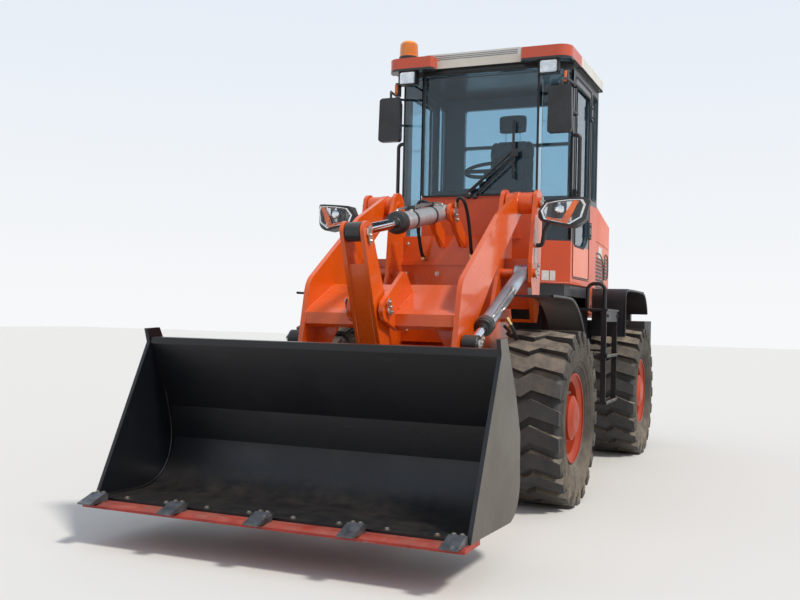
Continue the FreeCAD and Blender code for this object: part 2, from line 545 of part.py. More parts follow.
# Bucket: rolled shell, side plates with raised ears, and the lugs that carry it
shell = plate("bucket_shell", "YZ", [
    (-2060, 206.3), (-1955, 206.3), (-1720, 198, 260), (-1478, 452), (-1515, 625), (-1658, 980), (-1692, 980),
    (-1692, 955), (-1527, 622), (-1490, 452, -248), (-1720, 210), (-2060, 218.3),
], "-d.bucket_half_width", "2 * d.bucket_half_width")
cheek = plate("bucket_cheek", "YZ", [
    (-2078, 206.3), (-1955, 206.3), (-1520, 190, 170), (-1372, 400), (-1378, 580), (-1462, 770), (-1625, 1040),
    (-1728, 1035), (-1705, 965),
], "d.bucket_half_width - d.bucket_side", "d.bucket_side")
FOOT_LUG = [
    (-1600, 243.8), ("d.bucket_pin_y", "d.bucket_pin_z - d.boss_radius", "d.boss_radius"),
    ("d.bucket_pin_y + 0.8 * d.boss_radius", "d.bucket_pin_z + 0.6 * d.boss_radius"), (-1507, 560),
    (-1484, 452, -254),
]
FOOT_HALF = "d.foot_boss_long / 2 + d.side_gap"
foot = fuse("bucket_foot", [
    plate("bucket_lug", "YZ", FOOT_LUG, f"d.arm_x + {FOOT_HALF}", "d.plate"),
    plate("bucket_lug_inner", "YZ", FOOT_LUG, f"d.arm_x - ({FOOT_HALF}) - d.plate", "d.plate"),
    cylinder("foot_pin", "d.pin_radius", f"2 * ({FOOT_HALF} + d.plate + d.pin_end)",
             f"d.arm_x - ({FOOT_HALF}) - d.plate - d.pin_end", "d.bucket_pin_y", "d.bucket_pin_z"),
])
link_lug = plate("link_lug", "YZ", [
    (-1515.2, 335), ("d.link_pin_y", "d.link_pin_z - d.ram_eye_radius", "d.ram_eye_radius"),
    ("d.link_pin_y + d.ram_eye_radius", "d.link_pin_z", "d.ram_eye_radius"),
    ("d.link_pin_y", "d.link_pin_z + d.ram_eye_radius"), (-1515, 600), (-1484, 452, -254),
], "d.crank_x + d.side_gap", "d.plate")
LUG_OUT = "d.crank_x + d.side_gap + d.plate + d.pin_end"
link_pin = cylinder("link_pin", "d.pin_radius", f"2 * ({LUG_OUT})", f"-({LUG_OUT})", "d.link_pin_y", "d.link_pin_z")
node("bucket", fuse("bucket", [shell, both("bucket_cheeks", cheek), both("bucket_feet", foot),
                               both("link_lugs", link_lug), link_pin]))

# Cutting edge with its bolted teeth
node("cutting_edge", plate("cutting_edge", "YZ", [
    (-1960, 184), (-1960, 206), (-2120, 206), (-2152, 196), (-2152, 184),
], "-d.bucket_half_width", "2 * d.bucket_half_width"))
TOOTH = [(-2079, 206.3), (-2079, 243), (-2100, 248), (-2205, 213), (-2205, 206.3)]
last_tooth = int(number("d.tooth_count")) - 1
node("bucket_teeth", group("bucket_teeth", [plate(
    f"tooth_{n}", "YZ", TOOTH,
    f"{2 * n / last_tooth - 1} * (d.bucket_half_width - d.tooth_inset) - d.tooth_width / 2", "d.tooth_width")
    for n in range(last_tooth + 1)]))

# Bell crank of the Z-bar: two plates round a web, pinned in the arms' brackets
CRANK_IN = "d.crank_x - d.crank_plate / 2 + d.crank_inset"
crank_side = plate("crank_side", "YZ", [
    ("d.crank_top_y - d.crank_end", "d.crank_top_z", "-d.crank_end"),
    ("d.crank_top_y", "d.crank_top_z + d.crank_end", "-d.crank_end"),
    ("d.crank_top_y + d.crank_end", "d.crank_top_z"), ("d.crank_pivot_y + d.crank_waist", "d.crank_pivot_z"),
    ("d.crank_foot_y + d.ram_eye_radius", "d.crank_foot_z", "-d.ram_eye_radius"),
    ("d.crank_foot_y", "d.crank_foot_z - d.ram_eye_radius", "-d.ram_eye_radius"),
    ("d.crank_foot_y - d.ram_eye_radius", "d.crank_foot_z"), ("d.crank_pivot_y - d.crank_waist", "d.crank_pivot_z"),
], CRANK_IN, "d.crank_plate")
crank_web = plate("crank_web", "YZ", [
    (-1195, 1400), (-1112, 1150), (-1005, 890), (-890, 890), (-948, 1160), (-1085, 1400),
], f"-({CRANK_IN})", f"2 * ({CRANK_IN})")
crank_body = cut("bell_crank_body", fuse("crank_blank", [both("crank_sides", crank_side), crank_web]), [
    cylinder("crank_bore", "d.pin_radius + d.pin_gap", "4 * d.crank_x", "-2 * d.crank_x", "d.crank_pivot_y",
             "d.crank_pivot_z")])
node("bell_crank", fuse("bell_crank", [crank_body] + [
    both(f"{end}_pin_ends", cylinder(f"{end}_pin", "d.pin_radius", "d.crank_plate + d.pin_gap", CRANK_IN,
                                     f"d.{end}_y", f"d.{end}_z")) for end in ("crank_foot", "crank_top")]))


def reach(start, end):
    """Length and turn about X of a bar from its base pin to its far eye, in the YZ plane."""
    way = Vector(0, *(number(f"d.{end}_{part} - d.{start}_{part}") for part in "yz"))
    return way.Length, Rotation(Vector(1, 0, 0), way)


# Bucket link between the bell crank's foot and the bucket's upper lugs
EYE_HALF = f"{CRANK_IN} - d.side_gap"
link_long, link_turn = reach("crank_foot", "link_pin")
link_bar = turned("link_bar", [("0", "0"), (f"{link_long}", "0"), (f"{link_long}", "d.link_radius"),
                               ("0", "d.link_radius")], "0", "d.crank_foot_y", "d.crank_foot_z", link_turn)
link_eyes = [cylinder(f"link_eye_{end}", "d.link_eye_radius", f"2 * ({EYE_HALF})", f"-({EYE_HALF})",
                      f"d.{end}_y", f"d.{end}_z") for end in ("crank_foot", "link_pin")]
link_bore = cylinder("link_bore", "d.pin_radius + d.pin_gap", "4 * d.crank_x", "-2 * d.crank_x", "d.link_pin_y",
                     "d.link_pin_z")
node("bucket_link", cut("bucket_link", fuse("link_blank", [link_bar] + link_eyes), [link_bore]))


def ram(name, x, base, eye, kind, eye_half):
    """A hydraulic cylinder: a bored barrel on its base pin, and its rod to the far eye."""
    long, turn = reach(base, eye)
    y, z = f"d.{base}_y", f"d.{base}_z"
    barrel_r, rod_r, barrel_long = f"d.{kind}_barrel_radius", f"d.{kind}_rod_radius", f"d.{kind}_barrel_length"
    inner = f"d.{kind}_rod_inner"
    tube = turned(name + "_tube", [
        ("d.barrel_start", "0"), ("d.barrel_floor", "0"), ("d.barrel_floor", f"{rod_r} + d.pin_gap"),
        (barrel_long, f"{rod_r} + d.pin_gap"), (barrel_long, f"{barrel_r} + d.gland_rise"),
        (f"{barrel_long} - d.gland_long", f"{barrel_r} + d.gland_rise"), (f"{barrel_long} - d.gland_long", barrel_r),
        ("d.barrel_cone", barrel_r), ("d.barrel_start", "d.barrel_neck"),
    ], x, y, z, turn)
    eye_base = cylinder(name + "_base_eye", "d.ram_eye_radius", f"2 * {eye_half}", f"{x} - {eye_half}", y, z)
    hole = cylinder(name + "_base_hole", "d.pin_radius + d.pin_gap", f"4 * {eye_half}", f"{x} - 2 * {eye_half}", y, z)
    barrel = cut(name + "_barrel", fuse(name + "_barrel_blank", [tube, eye_base]), [hole])
    rod_bar = turned(name + "_rod_bar", [(inner, "0"), (f"{long}", "0"), (f"{long}", rod_r), (inner, rod_r)],
                     x, y, z, turn)
    return barrel, fuse(name + "_rod", [rod_bar, cylinder(
        name + "_rod_eye", "d.rod_eye_radius", f"2 * {eye_half}", f"{x} - {eye_half}", f"d.{eye}_y", f"d.{eye}_z")])


tilt_barrel, tilt_rod = ram("tilt_ram", "0", "tilt_base", "crank_top", "tilt", f"({EYE_HALF})")
node("tilt_barrel", tilt_barrel)
node("tilt_rod", tilt_rod)
lift_barrel, lift_rod = ram("lift_ram", "d.lift_x", "lift_base", "lift_eye", "lift", "d.lift_eye_half")
node("lift_barrel_left", lift_barrel)
node("lift_rod_left", lift_rod)
node("lift_barrel_right", mirror("lift_barrel_mirror", lift_barrel))
node("lift_rod_right", mirror("lift_rod_mirror", lift_rod))

# Steering cylinders lie flat between the frames, one each side of the hinge
BACK = Rotation(Vector(1, 0, 0), Vector(0, -1, 0))
STEER_BASE_Y = "d.hinge_from_axle + d.steer_base_back"
STEER_FAR = "d.steer_base_back + d.steer_eye_front"
EYE_LOW = "d.steer_z - d.steer_eye_high / 2"
for label, side in (("left", 1), ("right", -1)):
    x = f"{side} * d.steer_x"
    tube = turned(f"steer_tube_{label}", [
        ("0", "0"), ("d.steer_cone", "0"), ("d.steer_cone", "d.steer_rod_radius + d.pin_gap"),
        ("d.steer_barrel_length", "d.steer_rod_radius + d.pin_gap"), ("d.steer_barrel_length", "d.steer_barrel_radius"),
        ("d.steer_cone", "d.steer_barrel_radius"), ("0", "d.steer_pin_radius"),
    ], x, STEER_BASE_Y, "d.steer_z", BACK)
    eye = cylinder(f"steer_eye_{label}", "d.steer_eye_radius", "d.steer_eye_high", x, STEER_BASE_Y, EYE_LOW, "Z")
    hole = cylinder(f"steer_hole_{label}", "d.steer_pin_radius + d.pin_gap", "2 * d.steer_eye_high", x, STEER_BASE_Y,
                    "d.steer_z - d.steer_eye_high", "Z")
    node(f"steer_barrel_{label}", cut(f"steer_barrel_{label}", fuse(f"steer_blank_{label}", [tube, eye]), [hole]))
    bar = turned(f"steer_bar_{label}", [
        ("d.steer_rod_inner", "0"), (STEER_FAR, "0"), (STEER_FAR, "d.steer_rod_radius"),
        ("d.steer_rod_inner", "d.steer_rod_radius"),
    ], x, STEER_BASE_Y, "d.steer_z", BACK)
    rod_eye = cylinder(f"steer_rod_eye_{label}", "d.steer_eye_radius", "d.steer_eye_high", x,
                       "d.hinge_from_axle - d.steer_eye_front", EYE_LOW, "Z")
    node(f"steer_rod_{label}", fuse(f"steer_rod_{label}", [bar, rod_eye]))

# Rear frame: two rails, hinge plates, cab cradle and pedestals
RAIL_OUT = "d.rail_x + d.rail_half"
RAIL_IN = "d.rail_x - d.rail_half"
HINGE_ROOT = "d.hinge_from_axle + d.rail_start"
CRADLE_Z = "d.cab_base_z - d.cradle_high"
CRADLE_HIGH = "d.cradle_high - d.fit_gap"


def hinge_plate(name, z):
    """One lug plate of the rear frame with its bore."""
    blank = plate(name, "XY", [
        (f"-({RAIL_OUT})", f"{HINGE_ROOT} + d.plate"), (f"-({RAIL_OUT})", "d.hinge_from_axle + 250"),
        ("-0.8 * d.hinge_nose", "d.hinge_from_axle - 0.6 * d.hinge_nose", "d.hinge_nose"),
        ("0.8 * d.hinge_nose", "d.hinge_from_axle - 0.6 * d.hinge_nose"), (RAIL_OUT, "d.hinge_from_axle + 250"),
        (RAIL_OUT, f"{HINGE_ROOT} + d.plate"),
    ], z, "d.hinge_lug")
    return cut(name + "_bored", blank, [cylinder(
        name + "_hole", "d.hinge_pin_radius + d.pin_gap", "3 * d.hinge_lug", "0", "d.hinge_from_axle",
        f"{z} - d.hinge_lug", "Z")])


frame_sides = fuse("frame_side", boxes([
    # name, x, back, up, wide, deep, high
    ("rail", RAIL_IN, HINGE_ROOT, "d.rail_bottom", "2 * d.rail_half", f"d.rail_end_y - ({HINGE_ROOT})",
     "d.rail_top - d.rail_bottom"),
    ("cab_pedestal", RAIL_IN, 1660, "d.rail_top", 100, 180, f"{CRADLE_Z} - d.rail_top"),
    ("cab_cradle", RAIL_IN, 880, CRADLE_Z, 80, 960, CRADLE_HIGH),
    ("platform_beam", RAIL_OUT, 1640, 830, 320, 60, 60),
    ("steer_base_upper", "d.steer_x - d.steer_lug_wide / 2", "d.hinge_from_axle + 262", STEER_UPPER, "d.steer_lug_wide",
     80, "d.steer_lug"),
    ("steer_base_lower", "d.steer_x - d.steer_lug_wide / 2", "d.hinge_from_axle + 262", STEER_LOWER, "d.steer_lug_wide",
     80, "d.steer_lug"),
]) + [cylinder("steer_base_pin", "d.steer_pin_radius", "2 * d.steer_eye_high", "d.steer_x", STEER_BASE_Y,
               "d.steer_z - d.steer_eye_high", "Z")])
node("rear_frame", fuse("rear_frame", boxes([
    ("rear_bulkhead", f"-({RAIL_OUT})", HINGE_ROOT, "d.hinge_low_z", f"2 * ({RAIL_OUT})", "d.plate",
     "d.hinge_top_z + d.hinge_lug - d.hinge_low_z"),
    ("cradle_tie", f"-({RAIL_OUT})", 1700, CRADLE_Z, f"2 * ({RAIL_OUT})", 100, CRADLE_HIGH),
    ("rear_tie", f"-({RAIL_OUT})", "d.rail_end_y - 40", "d.rail_bottom", f"2 * ({RAIL_OUT})", "40 - d.fit_gap",
     "d.rail_top - d.rail_bottom"),
]) + [both("frame_sides", frame_sides), hinge_plate("hinge_plate_top", "d.hinge_top_z"),
      hinge_plate("hinge_plate_low", "d.hinge_low_z")]))

# Engine: one plain block at its real place and size, carried between the rails
ENGINE_HALF = f"{RAIL_IN} - d.fit_gap"
node("engine", box("engine_block", f"-({ENGINE_HALF})", 2120, 720, f"2 * ({ENGINE_HALF})", 820, 860))

# Counterweight: a cast block across the tail, with the tow pin's jaws in a recess
weight = plate("weight_block", "XY", [
    ("-d.weight_half", "d.weight_front_y"), ("d.weight_half", "d.weight_front_y"),
    ("d.weight_half", "d.weight_rear_y - d.weight_side", 230), ("d.weight_half - d.weight_corner", "d.weight_rear_y"),
    ("-d.weight_half + d.weight_corner", "d.weight_rear_y", 230), ("-d.weight_half", "d.weight_rear_y - d.weight_side"),
], "d.weight_bottom", "d.weight_top - d.weight_bottom")
recess = box("tow_recess", -150, "d.weight_rear_y - 170", 590, 300, 200, 230)
jaws = boxes([(f"tow_jaw_{n}", -60, "d.weight_rear_y - 172", z, 120, 152, "d.tow_jaw")
              for n, z in enumerate(("d.tow_low_z", "d.tow_low_z + d.tow_jaw + d.tow_gap"))])
TOW_Y = "d.weight_rear_y - d.tow_pin_back"
tow_bores = [cylinder("tow_bore", "d.tow_pin_radius", 200, "0", TOW_Y, 600, "Z"),
             cylinder("tow_entry", "1.6 * d.tow_pin_radius", 360, "0", TOW_Y, 800, "Z")]
node("counterweight", cut("counterweight_bored", fuse("weight_with_jaws", [
    cut("weight_with_recess", weight, [recess])] + jaws), tow_bores))

# Hood: a hollow tapered sheet-steel cover over the engine, with a barred grille at its tail
HOOD_TAIL = "d.hood_rear_y - d.hood_corner"
HOOD_AXIS_Y, HOOD_AXIS_Z = "d.hood_front_y - 10", "d.hood_top_front - 20"


def hood_plan(name, inset, low, high):
    """The hood's outline in plan, drawn in by inset."""
    half, tail = f"d.hood_half_rear - {inset}", f"{HOOD_TAIL} - {inset}"
    right = [(f"d.hood_half_front - {inset}", "d.hood_front_y"), (half, "d.hood_shoulder_y"),
             (f"{half} - 2 * d.hood_corner", tail), (f"{half} - 4.5 * d.hood_corner", f"{tail} + d.hood_corner")]
    return plate(name, "XY", right + [(f"-({x})", y) for x, y in right[::-1]], low, high)


def hood_view(name, inset):
    """The hood's outline from the side, drawn in by inset."""
    return plate(name, "YZ", [
        ("d.hood_front_y", f"d.hood_bottom_z - {inset}"), ("d.hood_rear_y", f"d.hood_bottom_z - {inset}"),
        ("d.hood_rear_y", f"d.hood_top_rear - 60 - {inset}", 75), ("d.hood_rear_y - 70", f"d.hood_top_rear - {inset}"),
        ("d.hood_front_y", f"d.hood_top_front - {inset}"),
    ], "-d.hood_half_front", "2 * d.hood_half_front")


hood_solid = common("hood_solid", hood_plan("hood_plan_outer", "0", "d.hood_bottom_z", 1100),
                    hood_view("hood_view_outer", "0"))
hood_void = common("hood_void", hood_plan("hood_plan_inner", "d.hood_wall", "d.hood_bottom_z - 10", 1100),
                   hood_view("hood_view_inner", "d.hood_wall"))
bars = [box(f"grille_bar_{n}", "-d.louvre_half", "d.hood_rear_y - 5", f"d.louvre_low_z + {n} * d.louvre_pitch",
            "2 * d.louvre_half", 17, "d.louvre_high") for n in range(int(number("d.louvre_count")))]
knuckle = cut("hood_knuckle", fuse("hood_knuckle_blank", [
    cylinder("hood_barrel", 12, 380, 130, HOOD_AXIS_Y, HOOD_AXIS_Z, "X"),
    box("hood_leaf", 130, HOOD_AXIS_Y, f"{HOOD_AXIS_Z} - 12", 380, 20, 24)]), [
    cylinder("hood_pin_bore", "d.hood_pin + d.pin_gap", 400, 120, HOOD_AXIS_Y, HOOD_AXIS_Z, "X")])
node("engine_hood", fuse("engine_hood", [
    cut("hood_cover", hood_solid, [hood_void]), both("hood_hinges", knuckle)] + bars))

# Cab: a welded shell with its windows cut, hollow, on a narrower black base with a floor
CAB_HALF_PLAN = [  # across, back, and the share of an inset taken off each
    ("d.cab_front_half", "d.cab_front_y", -0.45, 1), ("d.cab_half_width", "d.cab_corner_y", -1, 0.5),
    ("d.cab_half_width", "d.cab_rear_y", -1, -1),
]


def cab_plan(name, inset, low, high):
    """The cab's outline in plan, drawn in by inset."""
    right = [(f"{x} + {dx} * {inset}", f"{y} + {dy} * {inset}") for x, y, dx, dy in CAB_HALF_PLAN]
    return plate(name, "XY", right + [(f"-({x})", y) for x, y in right[::-1]], low, high)


FRONT_GLASS = "d.cab_front_half - d.header_inset"
REAR_GLASS = "d.rear_pane_half"
SIDE_LONG = "d.cab_rear_y - d.door_rear_y - 2 * d.pillar"
CORNER = [  # across, back, arc: the quarter window between the windscreen and the door
    ("d.cab_front_half + 22", "d.cab_front_y - 60"), ("d.cab_half_width + 60", "d.cab_corner_y - 25"),
    ("d.cab_half_width - 100", "d.cab_corner_y + 60"), ("d.cab_front_half - 60", "d.cab_front_y + 90"),
]
holes = boxes([
    # name, x, back, up, wide, deep, high
    ("windscreen_hole", f"-({FRONT_GLASS})", "d.cab_front_y - 50", "d.cab_belt_z", f"2 * ({FRONT_GLASS})", 150,
     "d.cab_top_z - d.cab_header - d.cab_belt_z"),
    ("rear_hole_low", f"-({REAR_GLASS})", "d.cab_rear_y - 100", "d.rear_pane_z", f"2 * ({REAR_GLASS})", 200,
     "d.rear_bar_z - d.rear_pane_z"),
    ("rear_hole_top", f"-({REAR_GLASS})", "d.cab_rear_y - 100", "d.rear_bar_z + d.rear_bar", f"2 * ({REAR_GLASS})", 200,
     "d.rear_pane_z + d.rear_pane_high - d.rear_bar_z - d.rear_bar"),
    ("door_hole", "-1.5 * d.cab_half_width", "d.door_front_y", "d.door_bottom_z", "3 * d.cab_half_width",
     "d.door_rear_y - d.door_front_y", "d.door_top_z - d.door_bottom_z"),
    ("side_hole", "-1.5 * d.cab_half_width", "d.door_rear_y + d.pillar", "d.side_pane_z", "3 * d.cab_half_width",
     SIDE_LONG, "d.side_pane_high"),
])
corner_hole = plate("corner_hole", "XY", CORNER, "d.corner_pane_z", "d.cab_top_z - d.cab_header - d.corner_pane_z")
pressing = plate("front_pressing", "XZ", [  # across, up
    (-330, 1700), (330, 1700), (250, 1990), (-250, 1990),
], "d.cab_front_y + 5", 17)
cab = cut("cab_walls", cab_plan("cab_outline", "0", "d.cab_floor_z", "d.cab_top_z - d.cab_floor_z"), [
    cab_plan("cab_inside", "d.cab_wall", "d.cab_floor_z + d.cab_wall", "d.cab_top_z - d.cab_floor_z")])
base = cab_plan("cab_base", "d.cab_base_inset", "d.cab_base_z", "d.cab_floor_z - d.cab_base_z")
node("cab_shell", fuse("cab_shell", [
    cut("cab_with_windows", cab, holes + [both("corner_holes", corner_hole)]), base, pressing,
    both("hood_lugs", fuse("hood_lug", [
        box("hood_ear", 512, "d.cab_rear_y - 5", f"{HOOD_AXIS_Z} - 8", 14, 28, 16),
        cylinder("hood_hinge_pin", "d.hood_pin", 400, 120, HOOD_AXIS_Y, HOOD_AXIS_Z, "X")]))]))

# Roof with its two corner caps and the slatted rack, carried on the shell
ROOF_Z = "d.cab_top_z + d.fit_gap"
ROOF_HALF = "d.cab_half_width + d.roof_overhang"
cap = plate("roof_cap", "XY", [  # across, back, arc
    ("d.cap_in", 700), ("d.cap_in + 15", 672), (f"{ROOF_HALF} - d.cap_corner", 672, "d.cap_corner"),
    (ROOF_HALF, "672 + d.cap_corner"), (ROOF_HALF, 1040), ("d.cap_in", 1040),
], "d.cab_top_z - 15", "d.roof_height + 15.3")
slats = boxes([(f"rack_slat_{n}", -452, f"d.rack_y + {n} * d.rack_pitch",
                "d.cab_top_z + d.roof_height + d.rack_rise", 742, 16, 14)
               for n in range(int(number("d.rack_slats")))])
RACK_Z = "d.cab_top_z + d.roof_height - 5"
RACK_LONG = "(d.rack_slats - 1) * d.rack_pitch + 16"
rack = boxes([
    ("rack_side_left", -452, "d.rack_y", RACK_Z, 24, RACK_LONG, "d.rack_rise + 7"),
    ("rack_side_right", 266, "d.rack_y", RACK_Z, 24, RACK_LONG, "d.rack_rise + 7"),
    ("roof_deck", f"-({ROOF_HALF})", 830, ROOF_Z, f"2 * ({ROOF_HALF})", "d.cab_rear_y + 12 - 830", "d.roof_height"),
    ("roof_brow", "-d.cap_in - 5", 760, ROOF_Z, "2 * (d.cap_in + 5)", 75, "d.roof_height - 22"),
])
front_trim = box("cap_clearance", f"-({ROOF_HALF}) - 10", 787, "d.cab_top_z - 20", f"2 * ({ROOF_HALF}) + 20", 400,
                 "20 + d.fit_gap")
node("cab_roof", fuse("cab_roof", rack + slats + [cut("roof_caps", both("both_caps", cap), [front_trim])]))

# Lamps of the rear body: the beacon, the work lamps under the roof's caps and the tail lamps
DECK = "d.cab_top_z + d.roof_height + 2 * d.fit_gap"
beacon = turned("beacon", [("0", "0"), (148, "0"), (148, 44, 30), (128, 64), (34, 68), (30, 74), ("0", 74)],
                "d.beacon_x", 780, DECK, Rotation(Vector(0, 1, 0), -90))
work_lamp = box("work_lamp", 464, 690, 2846, 140, 60, "d.cab_top_z - 15 - d.fit_gap - 2846")
tail_lamp = box("tail_lamp", 560, "d.weight_front_y + 60", "d.weight_top + d.fit_gap", 150, 60, 110)
node("lamps", group("lamps", [beacon, both("work_lamps", work_lamp), both("tail_lamps", tail_lamp)]))

# Glass panes, let into the window openings
PANE_IN = "d.cab_wall / 2"
FREE = "d.fit_gap"
corner_pane = plate("corner_pane", "XY", [
    ("d.cab_front_half + 14", "d.cab_front_y + 22"), ("d.cab_half_width - 20", "d.cab_corner_y - 5"),
    ("d.cab_half_width - 20", "d.cab_corner_y + 4"), ("d.cab_front_half + 8", "d.cab_front_y + 30"),
], f"d.corner_pane_z + {FREE}", f"d.cab_top_z - d.cab_header - d.corner_pane_z - 2 * {FREE}")
panes = boxes([
    # name, x, back, up, wide, deep, high
    ("windscreen", f"-({FRONT_GLASS}) + {FREE}", f"d.cab_front_y + {PANE_IN}", f"d.cab_belt_z + {FREE}",
     f"2 * ({FRONT_GLASS}) - 2 * {FREE}", "d.glass", f"d.cab_top_z - d.cab_header - d.cab_belt_z - 2 * {FREE}"),
    ("rear_pane_low", f"-({REAR_GLASS}) + {FREE}", f"d.cab_rear_y - {PANE_IN}", f"d.rear_pane_z + {FREE}",
     f"2 * ({REAR_GLASS}) - 2 * {FREE}", "d.glass", f"d.rear_bar_z - d.rear_pane_z - 2 * {FREE}"),
    ("rear_pane_top", f"-({REAR_GLASS}) + {FREE}", f"d.cab_rear_y - {PANE_IN}", f"d.rear_bar_z + d.rear_bar + {FREE}",
     f"2 * ({REAR_GLASS}) - 2 * {FREE}", "d.glass",
     f"d.rear_pane_z + d.rear_pane_high - d.rear_bar_z - d.rear_bar - 2 * {FREE}"),
])
side_pane = box("side_pane", f"d.cab_half_width - {PANE_IN}", f"d.door_rear_y + d.pillar + {FREE}",
                f"d.side_pane_z + {FREE}", "d.glass", f"{SIDE_LONG} - 2 * {FREE}", f"d.side_pane_high - 2 * {FREE}")
node("cab_glass", group("cab_glass", panes + [both("side_panes", side_pane), both("corner_panes", corner_pane)]))

# Doors: a steel frame hinged at its rear edge on two blocks, its pane let in above the lower panel
DOOR_X = "d.cab_half_width - d.door_wall"
DOOR_LONG = "d.door_rear_y - d.door_front_y"
door_blank = box("door_blank", DOOR_X, "d.door_front_y + d.side_gap", "d.door_bottom_z + d.side_gap", "d.door_wall",
                 f"{DOOR_LONG} - 2 * d.side_gap", "d.door_top_z - d.door_bottom_z - 2 * d.side_gap")


def door_opening(name, inset, low, wide):
    """The window's outline in the door, its lower rear corner rounded up to the sill."""
    front, back = f"d.door_front_y + d.door_stile + {inset}", f"d.door_rear_y - d.door_stile - {inset}"
    sill, head = f"d.door_bottom_z + d.door_sill + {inset}", f"d.door_top_z - d.door_stile - {inset}"
    return plate(name, "YZ", [
        (front, sill), (f"{back} - 140", sill, "240"), (back, f"{sill} + 130"), (back, head), (front, head),
    ], low, wide)


door_frame = cut("door_frame", door_blank, [door_opening("door_window", "0", "d.cab_half_width - 200", 400)])
hinges = boxes([
    # name, x, back, up, wide, deep, high
    ("door_hinge_top", "d.cab_half_width - 1", "d.door_rear_y - 52", 2672, 16, 46, 110),
    ("door_hinge_low", "d.cab_half_width - 1", "d.door_rear_y - 52", 1760, 16, 46, 110),
    ("door_handle", "d.cab_half_width - 1", "d.door_front_y + 14", 1950, 20, 34, 120),
])
pins = [cylinder(name, "d.door_pin", 130, "d.cab_half_width + d.door_pin - 2", "d.door_rear_y - 6", z, "Z")
        for name, z in (("door_pin_top", 2662), ("door_pin_low", 1750))]
door = fuse("door", [door_frame] + hinges + pins)
door_pane = door_opening("door_pane", FREE, "d.cab_half_width - 20", "d.glass")
node("door_left", door)
node("door_right", mirror("door_mirror", door))
node("door_glass_left", door_pane)
node("door_glass_right", mirror("door_pane_right", door_pane))

# Operator's seat and steering console
FLOOR = "d.cab_floor_z + d.cab_wall + d.fit_gap"
node("seat", fuse("seat", boxes([
    # name, x, back, up, wide, deep, high
    ("seat_base", -150, 1400, FLOOR, 300, 280, 480),
    ("seat_cushion", -240, 1260, f"{FLOOR} + 470", 480, 440, 120),
    ("seat_back", -220, 1610, f"{FLOOR} + 500", 440, 100, 680),
    ("headrest_posts", -60, 1640, f"{FLOOR} + 1150", 120, 30, 70),
    ("seat_headrest", -130, 1625, f"{FLOOR} + 1200", 260, 75, 165),
])))
wheel_ring = doc.addObject("Part::Torus", "steering_ring")
ring = named("steering_ring", radius=190, tube=14, up=825, back=1090)
wheel_ring.setExpression("Radius1", ring["radius"])
wheel_ring.setExpression("Radius2", ring["tube"])
wheel_ring.Placement = Placement(Vector(), Rotation(Vector(1, 0, 0), 25))
put(wheel_ring, "0", ring["back"], f"{FLOOR} + {ring['up']}")
node("console", fuse("console", [wheel_ring] + boxes([
    ("column", -45, 960, FLOOR, 90, 90, 720),
    ("steering_spoke", -190, 1070, f"{FLOOR} + 804", 380, 40, 24),
    ("steering_stem", -20, 1040, f"{FLOOR} + 700", 40, 60, 120),
    ("dashboard", -380, "d.cab_front_y + d.cab_wall + d.fit_gap", f"{FLOOR} + 440", 760, 150, 200),
])))

# Rear mudguards with rolled front corners, the fuel and oil tanks, platforms and ladders
GUARD_IN = "d.hood_half_front + d.guard_gap"
GUARD_LOW = "d.rear_fender_z - d.fender_plate"
guard = plate("rear_guard", "YZ", [  # back, up, arc
    (1960, 1000), (1970, 1000), (1970, 1290, -90), (2060, GUARD_LOW), ("d.wheelbase + 330", GUARD_LOW, -430),
    ("d.wheelbase + 570", 1190), ("d.wheelbase + 578", 1196, 440), ("d.wheelbase + 332", "d.rear_fender_z"),
    (2060, "d.rear_fender_z", 100), (1960, 1290),
], GUARD_IN, f"d.rear_fender_x - ({GUARD_IN})")
LOOP_Z = "d.door_bottom_z - d.rail_tube - d.side_gap"
station = fuse("side_station", boxes([
    ("side_tank", "d.step_in_x", 1400, 900, 230, 440, 300),
    ("platform", "d.step_in_x", 1370, 1200, "d.rear_fender_x - d.step_in_x - 30", 470, 14),
    ("tank_hanger", "d.step_in_x", 1500, 890.3, 430, 200, 12),
    ("platform_skirt", 800, 1372, 1120, 40, 450, 90),
    ("ladder_post_front", 800, 1372, 500, 40, 12, 705),
    ("ladder_post_rear", 800, 1810, 500, 40, 12, 705),
    ("tread_low", 680, 1372, 500, 170, 450, 16),
    ("tread_mid", 680, 1372, 850, 170, 450, 16),
    ("guard_stay", "d.hood_half_front + 20", 1830, 1196, 90, 140, 14),
]) + [tube_run("platform_loop", "d.rail_tube", [
    (690, 1400, 1205), (690, 1400, LOOP_Z), (820, 1400, LOOP_Z), (820, 1400, 1205)], "50")])
node("mudguards_and_steps", both("mudguards_and_steps", fuse("side_body", [guard, station])))

# Cab fittings: mirror pods on bent double tubes, grab rails and the wiper
pod_face = plate("mirror_face", "XZ", [  # across, up, arc
    (566, 2412), (700, 2412, 28), (724, 2440), (718, 2716, 28), (690, 2736), (586, 2736, 28), (558, 2712),
    (552, 2430, 28),
], 655, 45)
POST_X, POST_Y = "d.cab_half_width + d.fit_gap", "(d.cab_corner_y + d.door_front_y) / 2"
mirror_tubes = [tube_run(name, "d.mirror_tube", rows, "24") for name, rows in {
    "mirror_arm_top": [(POST_X, POST_Y, 2800), ("d.cab_half_width + 32", POST_Y, 2800),
                       ("d.cab_half_width + 5", 700, 2800), (640, 640, 2790),
                       (640, 640, 2730)],
    "mirror_arm_low": [(POST_X, POST_Y, 2600), ("d.cab_half_width + 32", POST_Y, 2600),
                       ("d.cab_half_width + 12", 720, 2600), (640, 648, 2600)],
}.items()]
grab_rail = tube_run("grab_rail", "d.rail_tube", [
    (POST_X, POST_Y, 2455), ("d.cab_half_width + 46", POST_Y, 2455), ("d.cab_half_width + 46", POST_Y, 1995),
    (POST_X, POST_Y, 1995)], "30")
